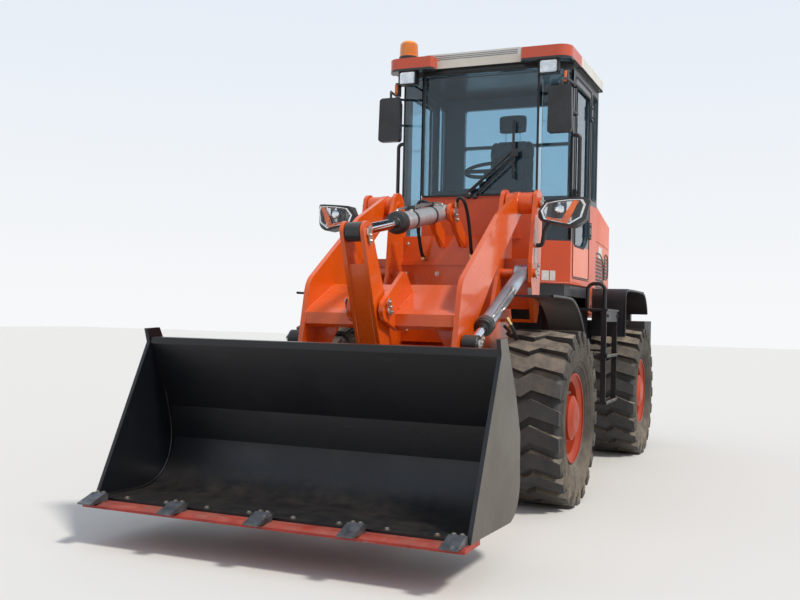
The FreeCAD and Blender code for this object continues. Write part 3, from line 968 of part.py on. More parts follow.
wiper = tube_run("wiper_arm", "d.wiper_tube", [
    (-72, "d.cab_front_y - d.wiper_tube", 2020), (-66, 778, 2050), (268, 770, 2330), (268, 770, 2336)], "12")
blade = box("wiper_blade", 260, 774, 2130, 12, 18, 420)
node("cab_fittings", group("cab_fittings", [
    both("mirror_units", fuse("mirror_unit", [pod_face] + mirror_tubes)), both("grab_rails", grab_rail),
    fuse("wiper", [wiper, blade])]))

doc.recompute()

problems = [o.Name for o in doc.Objects if "Invalid" in o.State or "Error" in o.State]
if problems:
    raise RuntimeError(f"failed objects: {problems}")
for label, thing in NODES:
    shape = thing.Shape
    if shape.isNull() or not shape.isValid() or not shape.Solids:
        raise RuntimeError(f"{label} has no valid solid")
    shape.exportStep(f"parts/{label}.step")
    b = shape.BoundBox
    print(f"{label}: {len(shape.Solids)} solids, {shape.Volume / 1e6:.1f} L, "
          f"X {b.XMin:.0f}..{b.XMax:.0f} Y {b.YMin:.0f}..{b.YMax:.0f} Z {b.ZMin:.0f}..{b.ZMax:.0f}")
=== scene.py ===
"""Compact articulated wheel loader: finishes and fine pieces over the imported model, in metres."""

import json
import math

import bmesh
import bpy
import numpy as np
from mathutils import Matrix, Vector


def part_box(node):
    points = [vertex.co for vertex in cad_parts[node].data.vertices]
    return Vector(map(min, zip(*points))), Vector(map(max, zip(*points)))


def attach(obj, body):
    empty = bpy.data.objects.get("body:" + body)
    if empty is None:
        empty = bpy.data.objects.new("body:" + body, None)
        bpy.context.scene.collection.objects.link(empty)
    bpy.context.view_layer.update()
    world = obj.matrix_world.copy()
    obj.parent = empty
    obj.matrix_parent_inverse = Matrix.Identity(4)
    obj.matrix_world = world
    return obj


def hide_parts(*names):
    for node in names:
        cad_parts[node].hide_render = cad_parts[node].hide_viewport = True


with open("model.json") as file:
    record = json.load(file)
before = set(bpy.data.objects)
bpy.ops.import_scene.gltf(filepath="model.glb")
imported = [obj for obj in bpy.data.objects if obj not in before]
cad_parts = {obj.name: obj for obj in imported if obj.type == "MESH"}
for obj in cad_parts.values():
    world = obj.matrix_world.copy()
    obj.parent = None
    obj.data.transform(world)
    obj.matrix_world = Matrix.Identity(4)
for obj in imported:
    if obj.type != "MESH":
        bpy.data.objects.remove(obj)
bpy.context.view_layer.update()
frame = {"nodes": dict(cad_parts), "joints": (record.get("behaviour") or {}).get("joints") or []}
scene = bpy.context.scene
scene.view_settings.view_transform = "Standard"
pivot = {joint["name"]: np.array(joint["pos_m"]) for joint in frame["joints"] if joint.get("pos_m")}


# Studio: a plain pale floor that keeps the shadow, a pale surround, and one high soft sun from the
# machine's left, as in the photograph, so that faces turned forwards lie in open shade.
def wire(tree, kind, sockets=None, **settings):
    """One shader node; each named or numbered socket takes a value or another node's output."""
    made = tree.nodes.new("ShaderNode" + kind)
    for name, value in settings.items():
        setattr(made, name, value)
    for key, value in (sockets or {}).items():
        if isinstance(value, bpy.types.NodeSocket):
            tree.links.new(value, made.inputs[key])
        else:
            made.inputs[key].default_value = value
    return made


world = bpy.data.worlds.new("studio")
scene.world = world
world.use_nodes = True
sky_tree = world.node_tree
sky_tree.nodes.clear()
way = wire(sky_tree, "TexCoord")
height = wire(sky_tree, "SeparateXYZ", {0: way.outputs["Generated"]})
rise = wire(sky_tree, "MapRange", {0: height.outputs["Z"], 1: 0.0, 2: 0.7, 3: 0.0, 4: 1.0})
surround = wire(sky_tree, "Mix", {0: rise.outputs[0], 6: (0.93, 0.94, 0.95, 1), 7: (0.62, 0.74, 0.90, 1)},
                data_type="RGBA")
fill = wire(sky_tree, "Mix", {0: rise.outputs[0], 6: (0.44, 0.44, 0.44, 1), 7: (0.56, 0.62, 0.72, 1)},
            data_type="RGBA")
rays = wire(sky_tree, "LightPath")
mirror_rays = wire(sky_tree, "Math",
                   {0: rays.outputs["Is Glossy Ray"], 1: rays.outputs["Is Transmission Ray"]},
                   operation="MAXIMUM")
shown_rays = wire(sky_tree, "Math", {0: rays.outputs["Is Camera Ray"], 1: mirror_rays.outputs[0]},
                  operation="MAXIMUM")
light = wire(sky_tree, "Mix", {0: shown_rays.outputs[0], 6: fill.outputs[2], 7: surround.outputs[2]},
             data_type="RGBA")
background = wire(sky_tree, "Background", {0: light.outputs[2]})
sky_tree.links.new(background.outputs[0], wire(sky_tree, "OutputWorld").inputs[0])

FLOOR_REACH = 40.0
floor_mesh = bpy.data.meshes.new("floor")
floor_mesh.from_pydata([(-FLOOR_REACH, -FLOOR_REACH, 0), (FLOOR_REACH, -FLOOR_REACH, 0),
                        (FLOOR_REACH, FLOOR_REACH, 0), (-FLOOR_REACH, FLOOR_REACH, 0)], [], [(0, 1, 2, 3)])
floor = bpy.data.objects.new("floor", floor_mesh)
scene.collection.objects.link(floor)
floor_finish = bpy.data.materials.new("pale_floor")
floor_finish.use_nodes = True
floor_finish.node_tree.nodes["Principled BSDF"].inputs["Base Color"].default_value = (0.72, 0.70, 0.66, 1)
floor_finish.node_tree.nodes["Principled BSDF"].inputs["Roughness"].default_value = 0.9
floor_mesh.materials.append(floor_finish)

SUN_WAY, SUN_POWER, SUN_SPREAD = (0.62, -0.16, 0.80), 2.5, 9
sun = bpy.data.lights.new("sun", "SUN")
sun.energy = SUN_POWER
sun.color = (1.0, 0.965, 0.90)
sun.angle = math.radians(SUN_SPREAD)
sun_object = bpy.data.objects.new("sun", sun)
sun_object.rotation_euler = Vector(SUN_WAY).to_track_quat("Z", "Y").to_euler()
scene.collection.objects.link(sun_object)

CAMERA_PLACE = (2.182, -6.469, 1.130)
CAMERA_YAW, CAMERA_PITCH, CAMERA_ROLL = 23.097, 0.955, 1.289
FOCAL_PIXELS, PHOTO_WIDE, SENSOR_WIDE = 941.9, 800, 36
yaw, pitch, roll = (math.radians(turn) for turn in (CAMERA_YAW, CAMERA_PITCH, CAMERA_ROLL))
ahead = Vector((-math.sin(yaw) * math.cos(pitch), math.cos(yaw) * math.cos(pitch), math.sin(pitch)))
level = Vector((math.cos(yaw), math.sin(yaw), 0))
upright = level.cross(ahead)
across = level * math.cos(roll) + upright * math.sin(roll)
upward = upright * math.cos(roll) - level * math.sin(roll)
lens = bpy.data.cameras.new("camera")
lens.sensor_width = SENSOR_WIDE
lens.lens = FOCAL_PIXELS / PHOTO_WIDE * SENSOR_WIDE
camera = bpy.data.objects.new("camera", lens)
turned_to = Matrix((across, upward, -ahead)).transposed().to_4x4()
camera.matrix_world = Matrix.Translation(CAMERA_PLACE) @ turned_to
scene.collection.objects.link(camera)
scene.camera = camera


# Tyres: black rubber with moulded zigzag lugs, dusty brown where they look up and on the sidewalls.
# Raised rings and the lugs' buttresses run down each sidewall, as the mould leaves them.
DUST = (0.40, 0.32, 0.23)


def finish(name, light, dark, patch=4.0, grain=90.0, rough=(0.3, 0.5), bump=0.1, metal=0.0, coat=0.0,
           dust=0.0, dust_tone=DUST, splash=(0.0, 0.0), scuff=0.0, scuff_tone=(0.4, 0.38, 0.35),
           lie=(9, 9, 1.2), zones=(), inside=None, under=None):
    """A worn finish on object coordinates: two tones in soft patches, fine grain in the bump, dust on faces
    that look up and below a splash line, and drawn-out scuffs. Zones repaint all that lies in a box, inside
    repaints faces that look towards a middle point, and under repaints faces that look down."""
    made = bpy.data.materials.new(name)
    made.use_nodes = True
    tree = made.node_tree
    shader = tree.nodes["Principled BSDF"]
    shader.inputs["Metallic"].default_value = metal
    shader.inputs["Coat Weight"].default_value = coat
    shader.inputs["Coat Roughness"].default_value = 0.08
    place = wire(tree, "TexCoord")
    spot = place.outputs["Object"]

    def over(below, share, above):
        return wire(tree, "Mix", {0: share, 6: below, 7: (*above, 1)}, data_type="RGBA").outputs[2]

    def math_node(first, second, operation):
        return wire(tree, "Math", {0: first, 1: second}, operation=operation).outputs[0]

    patches = {"Vector": spot, "Scale": patch, "Detail": 5.0, "Roughness": 0.6}
    cloud = wire(tree, "TexNoise", patches).outputs[0]
    soft = wire(tree, "MapRange", {0: cloud, 1: 0.35, 2: 0.65, 3: 0.0, 4: 1.0}).outputs[0]
    tone = wire(tree, "Mix", {0: soft, 6: (*light, 1), 7: (*dark, 1)}, data_type="RGBA").outputs[2]
    up = wire(tree, "SeparateXYZ", {0: spot}).outputs["Z"]
    facing = wire(tree, "SeparateXYZ", {0: place.outputs["Normal"]}).outputs["Z"]
    for low, high, paint in zones:
        middle, half = (np.array(low) + high) / 2, (np.array(high) - low) / 2
        moved = wire(tree, "VectorMath", {0: spot, 1: middle}, operation="SUBTRACT").outputs[0]
        share = wire(tree, "VectorMath", {0: moved, 1: half}, operation="DIVIDE").outputs[0]
        size = wire(tree, "VectorMath", {0: share}, operation="ABSOLUTE").outputs[0]
        sides = wire(tree, "SeparateXYZ", {0: size})
        flat = math_node(sides.outputs[0], sides.outputs[1], "MAXIMUM")
        most = math_node(flat, sides.outputs[2], "MAXIMUM")
        tone = over(tone, math_node(most, 1.0, "LESS_THAN"), paint)
    if inside:
        ray = wire(tree, "VectorMath", {0: spot, 1: inside[0]}, operation="SUBTRACT").outputs[0]
        towards = wire(tree, "VectorMath", {0: ray, 1: place.outputs["Normal"]}, operation="DOT_PRODUCT")
        tone = over(tone, math_node(towards.outputs["Value"], 0.0, "LESS_THAN"), inside[1])
    if under:
        tone = over(tone, math_node(facing, -0.6, "LESS_THAN"), under)
    fine = wire(tree, "TexNoise", {"Vector": spot, "Scale": grain, "Detail": 3.0}).outputs[0]
    roughness = wire(tree, "MapRange", {0: cloud, 1: 0.3, 2: 0.7, 3: rough[0], 4: rough[1]}).outputs[0]
    if scuff:
        drawn = wire(tree, "Mapping", {0: spot, 3: lie}).outputs[0]
        streaks = {"Vector": drawn, "Scale": 3.0, "Detail": 6.0, "Roughness": 0.7}
        streak = wire(tree, "TexNoise", streaks).outputs[0]
        worn = wire(tree, "MapRange", {0: streak, 1: 0.66 - 0.12 * scuff, 2: 0.74 - 0.10 * scuff, 3: 0.0,
                                       4: min(1.0, 0.5 + scuff / 2)}).outputs[0]
        tone = over(tone, worn, scuff_tone)
    if dust:
        settled = wire(tree, "MapRange", {0: facing, 1: 0.25, 2: 0.95, 3: 0.0, 4: dust}).outputs[0]
        splashed = {0: up, 1: splash[1] + 0.001, 2: splash[0], 3: 0.0, 4: dust}
        thrown = wire(tree, "MapRange", splashed).outputs[0]
        both_ways = math_node(settled, thrown, "MAXIMUM")
        lumps = {"Vector": spot, "Scale": 11.0, "Detail": 6.0, "Roughness": 0.65}
        coarse = wire(tree, "TexNoise", lumps).outputs[0]
        broken = wire(tree, "MapRange", {0: coarse, 1: 0.32, 2: 0.66, 3: 0.15, 4: 1.0}).outputs[0]
        dusty = math_node(both_ways, broken, "MULTIPLY")
        tone = over(tone, dusty, dust_tone)
        roughness = wire(tree, "Mix", {0: dusty, 2: roughness, 3: 0.95}).outputs[0]
    tree.links.new(tone, shader.inputs["Base Color"])
    tree.links.new(roughness, shader.inputs["Roughness"])
    relief = wire(tree, "Bump", {"Height": fine, "Strength": bump, "Distance": 0.002}).outputs[0]
    tree.links.new(relief, shader.inputs["Normal"])
    return made


def dress(material, *nodes):
    """Gives CAD nodes a finish in place of the plain one that they came with."""
    for name in nodes:
        slots = frame["nodes"][name].data.materials
        slots.clear()
        slots.append(material)


def loft(rings, closed=False):
    """Skin over rings of points: quads join each ring to the next, and open ends get one flat face each."""
    rings = np.asarray(rings, float)
    count, sides = rings.shape[:2]
    index = np.arange(count * sides).reshape(count, sides)
    low, high = (index, np.roll(index, -1, 0)) if closed else (index[:-1], index[1:])
    quads = np.stack([low, np.roll(low, -1, 1), np.roll(high, -1, 1), high], -1).reshape(-1, 4)
    return rings.reshape(-1, 3), [quads] + ([] if closed else [index[:1, ::-1], index[-1:]])


def square_to(axis):
    """Two unit directions across an axis, for drawing circles round it."""
    axis = np.asarray(axis, float) / np.linalg.norm(axis)
    side = np.cross(axis, (0, 0, 1) if abs(axis[2]) < 0.9 else (1, 0, 0))
    side /= np.linalg.norm(side)
    return axis, side, np.cross(axis, side)


def turned(profile, base, axis, sides=28, closed=False):
    """Turned shape: each (along, radius) row of the profile is a circle round the axis from the base."""
    axis, side, rise = square_to(axis)
    along, radius = np.array(profile, float).T
    angle = np.arange(sides) * 2 * np.pi / sides
    circle = np.cos(angle)[:, None] * side + np.sin(angle)[:, None] * rise
    return loft(np.asarray(base, float) + along[:, None, None] * axis + radius[:, None, None] * circle,
                closed)


def repeated(part, places):
    """The same part at many offsets, as one array of points and faces."""
    points, faces = part
    places = np.asarray(places, float)
    step = len(points) * np.arange(len(places))
    return ((places[:, None] + points).reshape(-1, 3),
            [(block[None] + step[:, None, None]).reshape(-1, block.shape[1]) for block in faces])


def spun(part, centre, axis, count, start=0.0):
    """The same part turned round an axis in equal steps."""
    points, faces = part
    axis = Vector(axis).normalized()
    turns = [np.array(Matrix.Rotation(start + n * 2 * math.pi / count, 3, axis)) for n in range(count)]
    moved = (points - np.asarray(centre)) @ np.stack(turns).transpose(0, 2, 1) + np.asarray(centre)
    step = len(points) * np.arange(count)
    return (moved.reshape(-1, 3),
            [(block[None] + step[:, None, None]).reshape(-1, block.shape[1]) for block in faces])


def piece(name, parts, material, body, crease=32):
    """Joins parts into one mesh with its faces outwards, gives it its finish and sets it on its body."""
    points, faces, first = [], [], 0
    for part_points, blocks in parts:
        points.append(part_points)
        for block in blocks:
            faces.extend((block + first).tolist())
        first += len(part_points)
    mesh = bpy.data.meshes.new(name)
    mesh.from_pydata(np.concatenate(points).tolist(), [], faces)
    shell = bmesh.new()
    shell.from_mesh(mesh)
    bmesh.ops.recalc_face_normals(shell, faces=shell.faces)
    shell.to_mesh(mesh)
    shell.free()
    mesh.shade_smooth()
    mesh.set_sharp_from_angle(angle=math.radians(crease))
    mesh.materials.append(material)
    made = bpy.data.objects.new(name, mesh)
    scene.collection.objects.link(made)
    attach(made, body)
    return made


HALF_TRACK, WALL_CENTRE_X, WALL_CENTRE_R, WALL_ARC = 0.745, -0.0271, 0.4152, 0.230
WALL_FOOT, WALL_TOP, MOULD_RINGS = 0.300, 0.474, (0.322, 0.352, 0.448)
LUG_COUNT = 22
WHEELS = (("front_left", 1), ("front_right", -1), ("rear_left", 1), ("rear_right", -1))
rubber = finish("tyre_rubber", (0.060, 0.058, 0.056), (0.036, 0.036, 0.037), patch=6, grain=160,
                rough=(0.6, 0.85), bump=0.35, dust=0.9, splash=(-0.5, 0.16), scuff=0.05,
                scuff_tone=(0.12, 0.10, 0.08), lie=(5, 5, 5))
side_rubber = finish("dusty_sidewall", (0.072, 0.057, 0.042), (0.034, 0.028, 0.023), patch=9, grain=140,
                     rough=(0.8, 0.95), bump=0.4, dust=0.6, splash=(0.0, 0.45),
                     dust_tone=(0.44, 0.36, 0.27))


def wall_x(radius):
    """Half width of the tyre's sidewall at a radius: its section is one arc."""
    return WALL_CENTRE_X + math.sqrt(WALL_ARC ** 2 - (radius - WALL_CENTRE_R) ** 2)


def wall_sheet(centre, side, way):
    """A skin a millimetre proud of one sidewall, with three raised mould rings."""
    radii = np.linspace(WALL_FOOT, WALL_TOP, 59)
    raised = sum(0.0035 * np.exp(-((radii - ring) / 0.0035) ** 2) for ring in MOULD_RINGS)
    out = WALL_CENTRE_X + np.sqrt(WALL_ARC ** 2 - (radii - WALL_CENTRE_R) ** 2) + 0.0012 + raised
    profile = np.concatenate([np.stack([out, radii], 1),
                              np.stack([out[::-1] - 0.006 - raised[::-1], radii[::-1]], 1)])
    return turned(profile, centre, (side * way, 0, 0), sides=88, closed=True)


def buttress(centre, side, way, lean):
    """The foot of one lug on the shoulder: a tapered block between the lug's end and the sidewall."""
    rows = []
    for radius, half, proud in ((0.506, 0.036, 0.006), (0.485, 0.037, 0.011), (0.455, 0.030, 0.009),
                                (0.425, 0.020, 0.001)):
        out = wall_x(min(radius, WALL_TOP)) - 0.010
        rows.append([(side * way * (out + deep), sway, radius) for deep, sway in
                     ((0, -half), (0, half), (0.010 + proud, 0.86 * half), (0.010 + proud, -0.86 * half))])
    block = loft(np.array(rows))
    block[0][:, 1] += lean * (block[0][:, 2] / 0.53)
    return block[0] + np.asarray(centre), block[1]


for corner, side in WHEELS:
    hub = pivot[f"wheel_spin_{corner}"] * (0, 1, 1) + (side * HALF_TRACK, 0, 0)
    dress(rubber, f"tyre_{corner}")
    walls = [wall_sheet(hub, side, way) for way in (1, -1)]
    feet = [spun(buttress(hub, side, way, -0.033 * way * side), hub, (1, 0, 0), LUG_COUNT)
            for way in (1, -1)]
    skin = piece(f"sidewalls_{corner}", walls + feet, side_rubber, f"wheel_{corner}")


# Rims: pressed steel discs with deep rolled rims, sprayed orange red, each held to its hub by ten
# wheel nuts on studs; a turned cap with its own ring of small bolts closes the planetary hub.
# ORANGE is the paint as it looks in sun and SHADED_ORANGE the same paint in shade. orange_paint and
# hood_orange mix the two in soft patches, so their darker patches are painted shade.
ORANGE, SHADED_ORANGE = (0.80, 0.118, 0.005), (0.68, 0.080, 0.004)
orange = finish("orange_paint", ORANGE, SHADED_ORANGE, patch=1.6, grain=240, rough=(0.20, 0.34), bump=0.04,
                coat=0.40, dust=0.12, splash=(0.15, 0.85), scuff=0.05, scuff_tone=(0.55, 0.16, 0.05))
# rim_paint is darker than the rims' real orange red. The extra darkness is painted shade for the shadow in
# the deep dishes.
rim_paint = finish("rim_paint", (0.44, 0.040, 0.001), (0.29, 0.021, 0.001), patch=3, grain=240,
                   rough=(0.42, 0.60), bump=0.05, dust=0.02, scuff=0.05, scuff_tone=(0.30, 0.10, 0.04))
zinc = finish("zinc_plate", (0.62, 0.60, 0.55), (0.42, 0.40, 0.36), patch=40, grain=300, rough=(0.28, 0.45),
              metal=1.0, bump=0.08, scuff=0.2, scuff_tone=(0.30, 0.22, 0.12))


def bolt(centre, axis, radius, sides=6):
    """Hexagon bolt or nut on its washer, seen from outside: washer, flats and a turned-down crown."""
    washer = turned([(0.0, radius * 1.45), (radius * 0.2, radius * 1.45)], centre, axis, 20)
    head = turned([(radius * 0.2, radius), (radius * 0.8, radius), (radius * 0.95, radius * 0.85)], centre,
                  axis, sides)
    return [washer, head]


NUT_CIRCLE, NUT_COUNT, DISC_X, CAP_X = 0.180, 10, 0.840, 0.905
for corner, side in WHEELS:
    hub = pivot[f"wheel_spin_{corner}"] * (0, 1, 1)
    dress(rim_paint, f"rim_{corner}")
    disc, cap = hub + (side * DISC_X, 0, 0), hub + (side * CAP_X, 0, 0)
    nut_place = disc + (0, 0, NUT_CIRCLE)
    stud = turned([(0.0, 0.008), (0.022, 0.008), (0.024, 0.006)], nut_place, (side, 0, 0), 12)
    nuts = [spun(part, disc, (1, 0, 0), NUT_COUNT)
            for part in bolt(nut_place, (side, 0, 0), 0.0135) + [stud]]
    nuts += [spun(part, cap, (1, 0, 0), 8, 0.2) for part in bolt(cap + (0, 0, 0.108), (side, 0, 0), 0.007)]
    nuts.append(turned([(0.0, 0.004), (0.030, 0.004), (0.032, 0.003)], disc + (0, 0.02, 0.205),
                       (side, 0, 0), 10))
    piece(f"wheel_nuts_{corner}", nuts, zinc, f"wheel_{corner}")


# Axles: rough cast banjo casings in black, with a ring of bolts round each differential cover. The plain
# engine block shares their iron.
cast = finish("cast_iron", (0.055, 0.053, 0.050), (0.030, 0.030, 0.030), patch=8, grain=120,
              rough=(0.55, 0.8), bump=0.6, dust=0.55, splash=(0.30, 0.75))
dress(cast, "front_axle", "rear_axle", "engine")
for end, way in (("front", -1), ("rear", 1)):
    middle = pivot[f"wheel_spin_{end}_left"] * (0, 1, 1)
    cover = middle + (0, way * 0.150, 0)
    ring = [spun(part, cover, (0, 1, 0), 12) for part in bolt(cover + (0, 0, 0.066), (0, way, 0), 0.008)]
    rim = turned([(-0.030, 0.082), (0.0, 0.082), (0.004, 0.076), (0.012, 0.040)], cover, (0, way, 0), 40)
    piece(f"axle_cover_{end}", ring + [rim], cast, f"{end}_frame")


# Bucket: rolled plate in black paint, browned by earth on its cheeks, with fillet welds where the cheeks
# and the hanging lugs meet the shell, a bar along its top, a red cutting edge and bolted steel teeth.
AXLE_Y = float(pivot["wheel_spin_front_left"][1])


def at(across, back, up):
    """A place given in metres across, back from the front axle, and up."""
    return np.array((across, back + AXLE_Y, up))


def line_at(x, places):
    """Places that share one measure across, each given by its back and up."""
    return [at(x, back, up) for back, up in places]


def bolts(centres, axis, radius):
    """The same bolt at many places."""
    return [part for centre in centres for part in bolt(centre, axis, radius)]


HALF_BUCKET = 0.965
bucket_paint = finish("bucket_paint", (0.0045, 0.0052, 0.0085), (0.0028, 0.0032, 0.0052), patch=2.2,
                      grain=150, rough=(0.30, 0.52), bump=0.25, dust=0.07, scuff=0.30,
                      scuff_tone=(0.022, 0.022, 0.026), lie=(1.2, 7, 7),
                      zones=(((HALF_BUCKET - 0.0015, -4, 0.0), (1.2, 4, 1.2), (0.080, 0.066, 0.050)),
                             ((-1.2, -4, 0.0), (-HALF_BUCKET + 0.0015, 4, 1.2), (0.080, 0.066, 0.050))))
dress(bucket_paint, "bucket")
edge_red = finish("edge_red", (0.40, 0.024, 0.010), (0.24, 0.016, 0.010), patch=7, grain=200,
                  rough=(0.35, 0.6), bump=0.2, dust=0.25, splash=(0.0, 0.19), scuff=0.45,
                  scuff_tone=(0.22, 0.20, 0.19), lie=(2, 9, 9))
dress(edge_red, "cutting_edge")
tooth_steel = finish("tooth_steel", (0.16, 0.165, 0.175), (0.055, 0.058, 0.065), patch=14, grain=180,
                     rough=(0.35, 0.6), metal=0.6, bump=0.3, scuff=0.5, scuff_tone=(0.38, 0.37, 0.35),
                     lie=(9, 2, 9))
dress(tooth_steel, "bucket_teeth")
bare_steel = finish("worn_steel", (0.34, 0.31, 0.27), (0.20, 0.17, 0.14), patch=12, grain=200,
                    rough=(0.3, 0.55), metal=0.7, bump=0.25, scuff=0.4, scuff_tone=(0.30, 0.16, 0.07))


def tube(path, radius, sides=12):
    """Round section carried along a path. Across each point lie two directions square to the local run."""
    path = np.asarray(path, float)
    run = np.gradient(path, axis=0)
    run /= np.linalg.norm(run, axis=1)[:, None]
    choices = np.array([(1, 0, 0), (0, 1, 0), (0, 0, 1), (0.6, 0.64, 0.48), (-0.48, 0.6, 0.64)])
    away = choices[np.abs(run @ choices.T).max(axis=0).argmin()]
    side = np.cross(run, away)
    side /= np.linalg.norm(side, axis=1)[:, None]
    rise = np.cross(run, side)
    angle = np.arange(sides) * 2 * np.pi / sides
    radius = np.broadcast_to(radius, len(path))[:, None, None]
    return loft(path[:, None] + radius * (np.cos(angle)[None, :, None] * side[:, None]
                                          + np.sin(angle)[None, :, None] * rise[:, None]))


def eased(points, rounds=3):
    """A smooth run from a few places: each round cuts every corner at a quarter of the run on both sides."""
    points = np.asarray(points, float)
    for _ in range(rounds):
        near = 0.75 * points[:-1] + 0.25 * points[1:]
        far = 0.25 * points[:-1] + 0.75 * points[1:]
        points = np.concatenate([points[:1], np.stack([near, far], 1).reshape(-1, 3), points[-1:]])
    return points


def weld(path, radius=0.005):
    """A fillet weld: a thin bead whose section swells and shrinks with each ripple of the run."""
    path = np.asarray(path, float)
    gone = np.concatenate([[0], np.cumsum(np.linalg.norm(np.diff(path, axis=0), axis=1))])
    count = max(8, int(gone[-1] / 0.008))
    steps = np.linspace(0, gone[-1], count)
    line = np.stack([np.interp(steps, gone, path[:, n]) for n in range(3)], 1)
    return tube(line, radius * (1 + 0.16 * np.cos(np.arange(count) * np.pi)), 6)


# inner line of the bucket's section, from the lip up the back: back from the front axle, up
BOWL = np.array([(-2.05, 0.221), (-1.85, 0.216), (-1.72, 0.214), (-1.60, 0.248), (-1.52, 0.335),
                 (-1.495, 0.452), (-1.515, 0.560), (-1.580, 0.750), (-1.655, 0.940)])
bead_x = HALF_BUCKET - 0.022
beads = [weld(eased(line_at(side * bead_x, BOWL), 2), 0.0045) for side in (1, -1)]
beads += [weld([at(side * (0.470 + out), -1.588, 0.262), at(side * (0.470 + out), -1.40, 0.262)], 0.004)
          for side in (1, -1) for out in (-0.06, 0.06)]
piece("bucket_welds", beads, bucket_paint, "bucket")
LIP = [(-1.700, 0.958), (-1.700, 0.990), (-1.650, 0.992), (-1.640, 0.975), (-1.650, 0.962)]
lip = loft([line_at(x, LIP) for x in (-0.944, 0.944)])
piece("bucket_top_bar", [lip], bucket_paint, "bucket")
TOOTH_PLACES = [(n / 2 - 1) * (HALF_BUCKET - 0.052) for n in range(5)]
tooth_bolts = bolts([at(x + dx, -2.090, 0.2445) for x in TOOTH_PLACES for dx in (-0.018, 0.018)],
                    (0, -0.2, 1), 0.009)
edge_bolts = bolts([at(x, -2.03, 0.2185) for x in np.linspace(-0.80, 0.80, 8)], (0, 0, 1), 0.010)
piece("edge_bolts", tooth_bolts + edge_bolts, bare_steel, "bucket")


# Lift arms: two flame-cut plates with a boxed cross member, welded up and sprayed orange. Their pins are
# held by small keeper plates with two zinc screws each, and greased through nipples in their ends.
dress(orange, "lift_arms", "bell_crank", "bucket_link")
FOOT_PIN_END, CRANK_PIN_END, CRANK_TIP_PIN_END, ARM_OUTER = 0.5625, 0.121, 0.0725, 0.485


def keeper(centre, side, turn=0.0, size=0.052):
    """A pin's end with its keeper: turned pin face, flat plate across its rim, two screws and a nipple."""
    out = np.array((side, 0.0, 0.0))
    lie = np.array((0.0, math.sin(turn), math.cos(turn)))
    wide = np.cross(out, lie)
    face = turned([(0.0, 0.027), (0.006, 0.027), (0.009, 0.023)], centre, out, 28)
    corners = [(-0.017, -0.6 * size), (0.017, -0.6 * size), (0.017, size), (0.010, 1.25 * size),
               (-0.010, 1.25 * size), (-0.017, size)]
    plate = loft([[centre + out * deep + wide * a + lie * b for a, b in corners]
                  for deep in (0.006, 0.012)])
    nipple = turned([(0.006, 0.005), (0.017, 0.005), (0.021, 0.003), (0.026, 0.0035)], centre - lie * 0.012,
                    out, 10)
    screws = bolts([centre + out * 0.012 + lie * b for b in (0.35 * size, 0.95 * size)], out, 0.0075)
    return [face, plate, nipple] + screws


arm_pins = []
for side in (1, -1):
    arm_pins += keeper(pivot["bucket_tilt"] * (0, 1, 1) + (side * FOOT_PIN_END, 0, 0), side, 2.4)
piece("foot_pin_keepers", arm_pins, zinc, "bucket")
crank_hub = pivot["crank_swing"] * (0, 1, 1)
middle_pins = [part for side in (1, -1)
               for part in keeper(crank_hub + (side * CRANK_PIN_END, 0, 0), side, -0.5)]
piece("crank_pin_keepers", middle_pins, zinc, "lift_arms")
top_hub = at(0, -1.220, 1.570)
foot_hub = at(0, -0.842, 0.657)
crank_pins = []
for side in (1, -1):
    for hub, turn in ((top_hub, 2.9), (foot_hub, 0.3)):
        crank_pins += keeper(hub + (side * CRANK_TIP_PIN_END, 0, 0), side, turn)
piece("crank_end_keepers", crank_pins, zinc, "bell_crank")
# seams: where the cross member's faces meet each arm, and where the crank's brackets stand on it
BEAM = [(-0.600, 1.296), (-0.880, 1.166), (-0.923, 1.140), (-0.926, 1.076), (-0.860, 1.054)]
seams = [weld(line_at(side * 0.4545, BEAM), 0.0045) for side in (1, -1)]
seams += [weld(line_at(side * x, ((-0.640, 1.280), (-0.880, 1.168))), 0.004)
          for side in (1, -1) for x in (0.0825, 0.1105)]
seams += [weld(line_at(side * ARM_OUTER, ((0.180, 1.945), (0.145, 1.880), (0.180, 1.815))), 0.004)
          for side in (1, -1)]
piece("arm_welds", seams, orange, "lift_arms")
crank_seams = [weld(line_at(side * 0.0485, run), 0.004) for side in (1, -1)
               for run in (((-1.195, 1.400), (-1.112, 1.150), (-1.005, 0.890)),
                           ((-1.085, 1.400), (-0.948, 1.160), (-0.890, 0.890)))]
piece("crank_welds", crank_seams, orange, "bell_crank")


# Front frame: two deep plates that rise into the loader tower, with a bolted cover between them. The arm
# and cylinder pins have keepers here too, and bare plates stand where the labels were.
dress(orange, "front_frame")
TOWER_PIN_END, COVER_BACK = 0.6255, 0.295
tower_pins = []
for side in (1, -1):
    tower_pins += keeper(pivot["arm_lift"] * (0, 1, 1) + (side * TOWER_PIN_END, 0, 0), side, 3.0, 0.062)
    tower_pins += keeper(pivot["lift_barrel_swing_left"] * (0, 1, 1) + (side * TOWER_PIN_END, 0, 0), side,
                         0.4)
    tower_pins += keeper(pivot["tilt_barrel_swing"] * (0, 1, 1) + (side * 0.096, 0, 0), side, 2.7)
tower_pins += bolts([at(x, COVER_BACK, 1.422) for x in (-0.345, -0.113, 0.113, 0.345)], (0, -1, 0), 0.011)
tower_pins += bolts([at(x, COVER_BACK, z) for x in (-0.330, 0.330) for z in (1.03, 1.63)], (0, -1, 0),
                    0.009)
piece("tower_pin_keepers", tower_pins, zinc, "front_frame")
frame_seams = [weld(line_at(side * 0.3725, ((0.291, 1.00), (0.291, 1.655))), 0.004) for side in (1, -1)]
frame_seams += [weld(line_at(side * x, ((0.291, 1.602), (0.125, 1.688), (0.075, 1.735))), 0.0035)
                for side in (1, -1) for x in (0.061, 0.085)]
piece("tower_welds", frame_seams, orange, "front_frame")


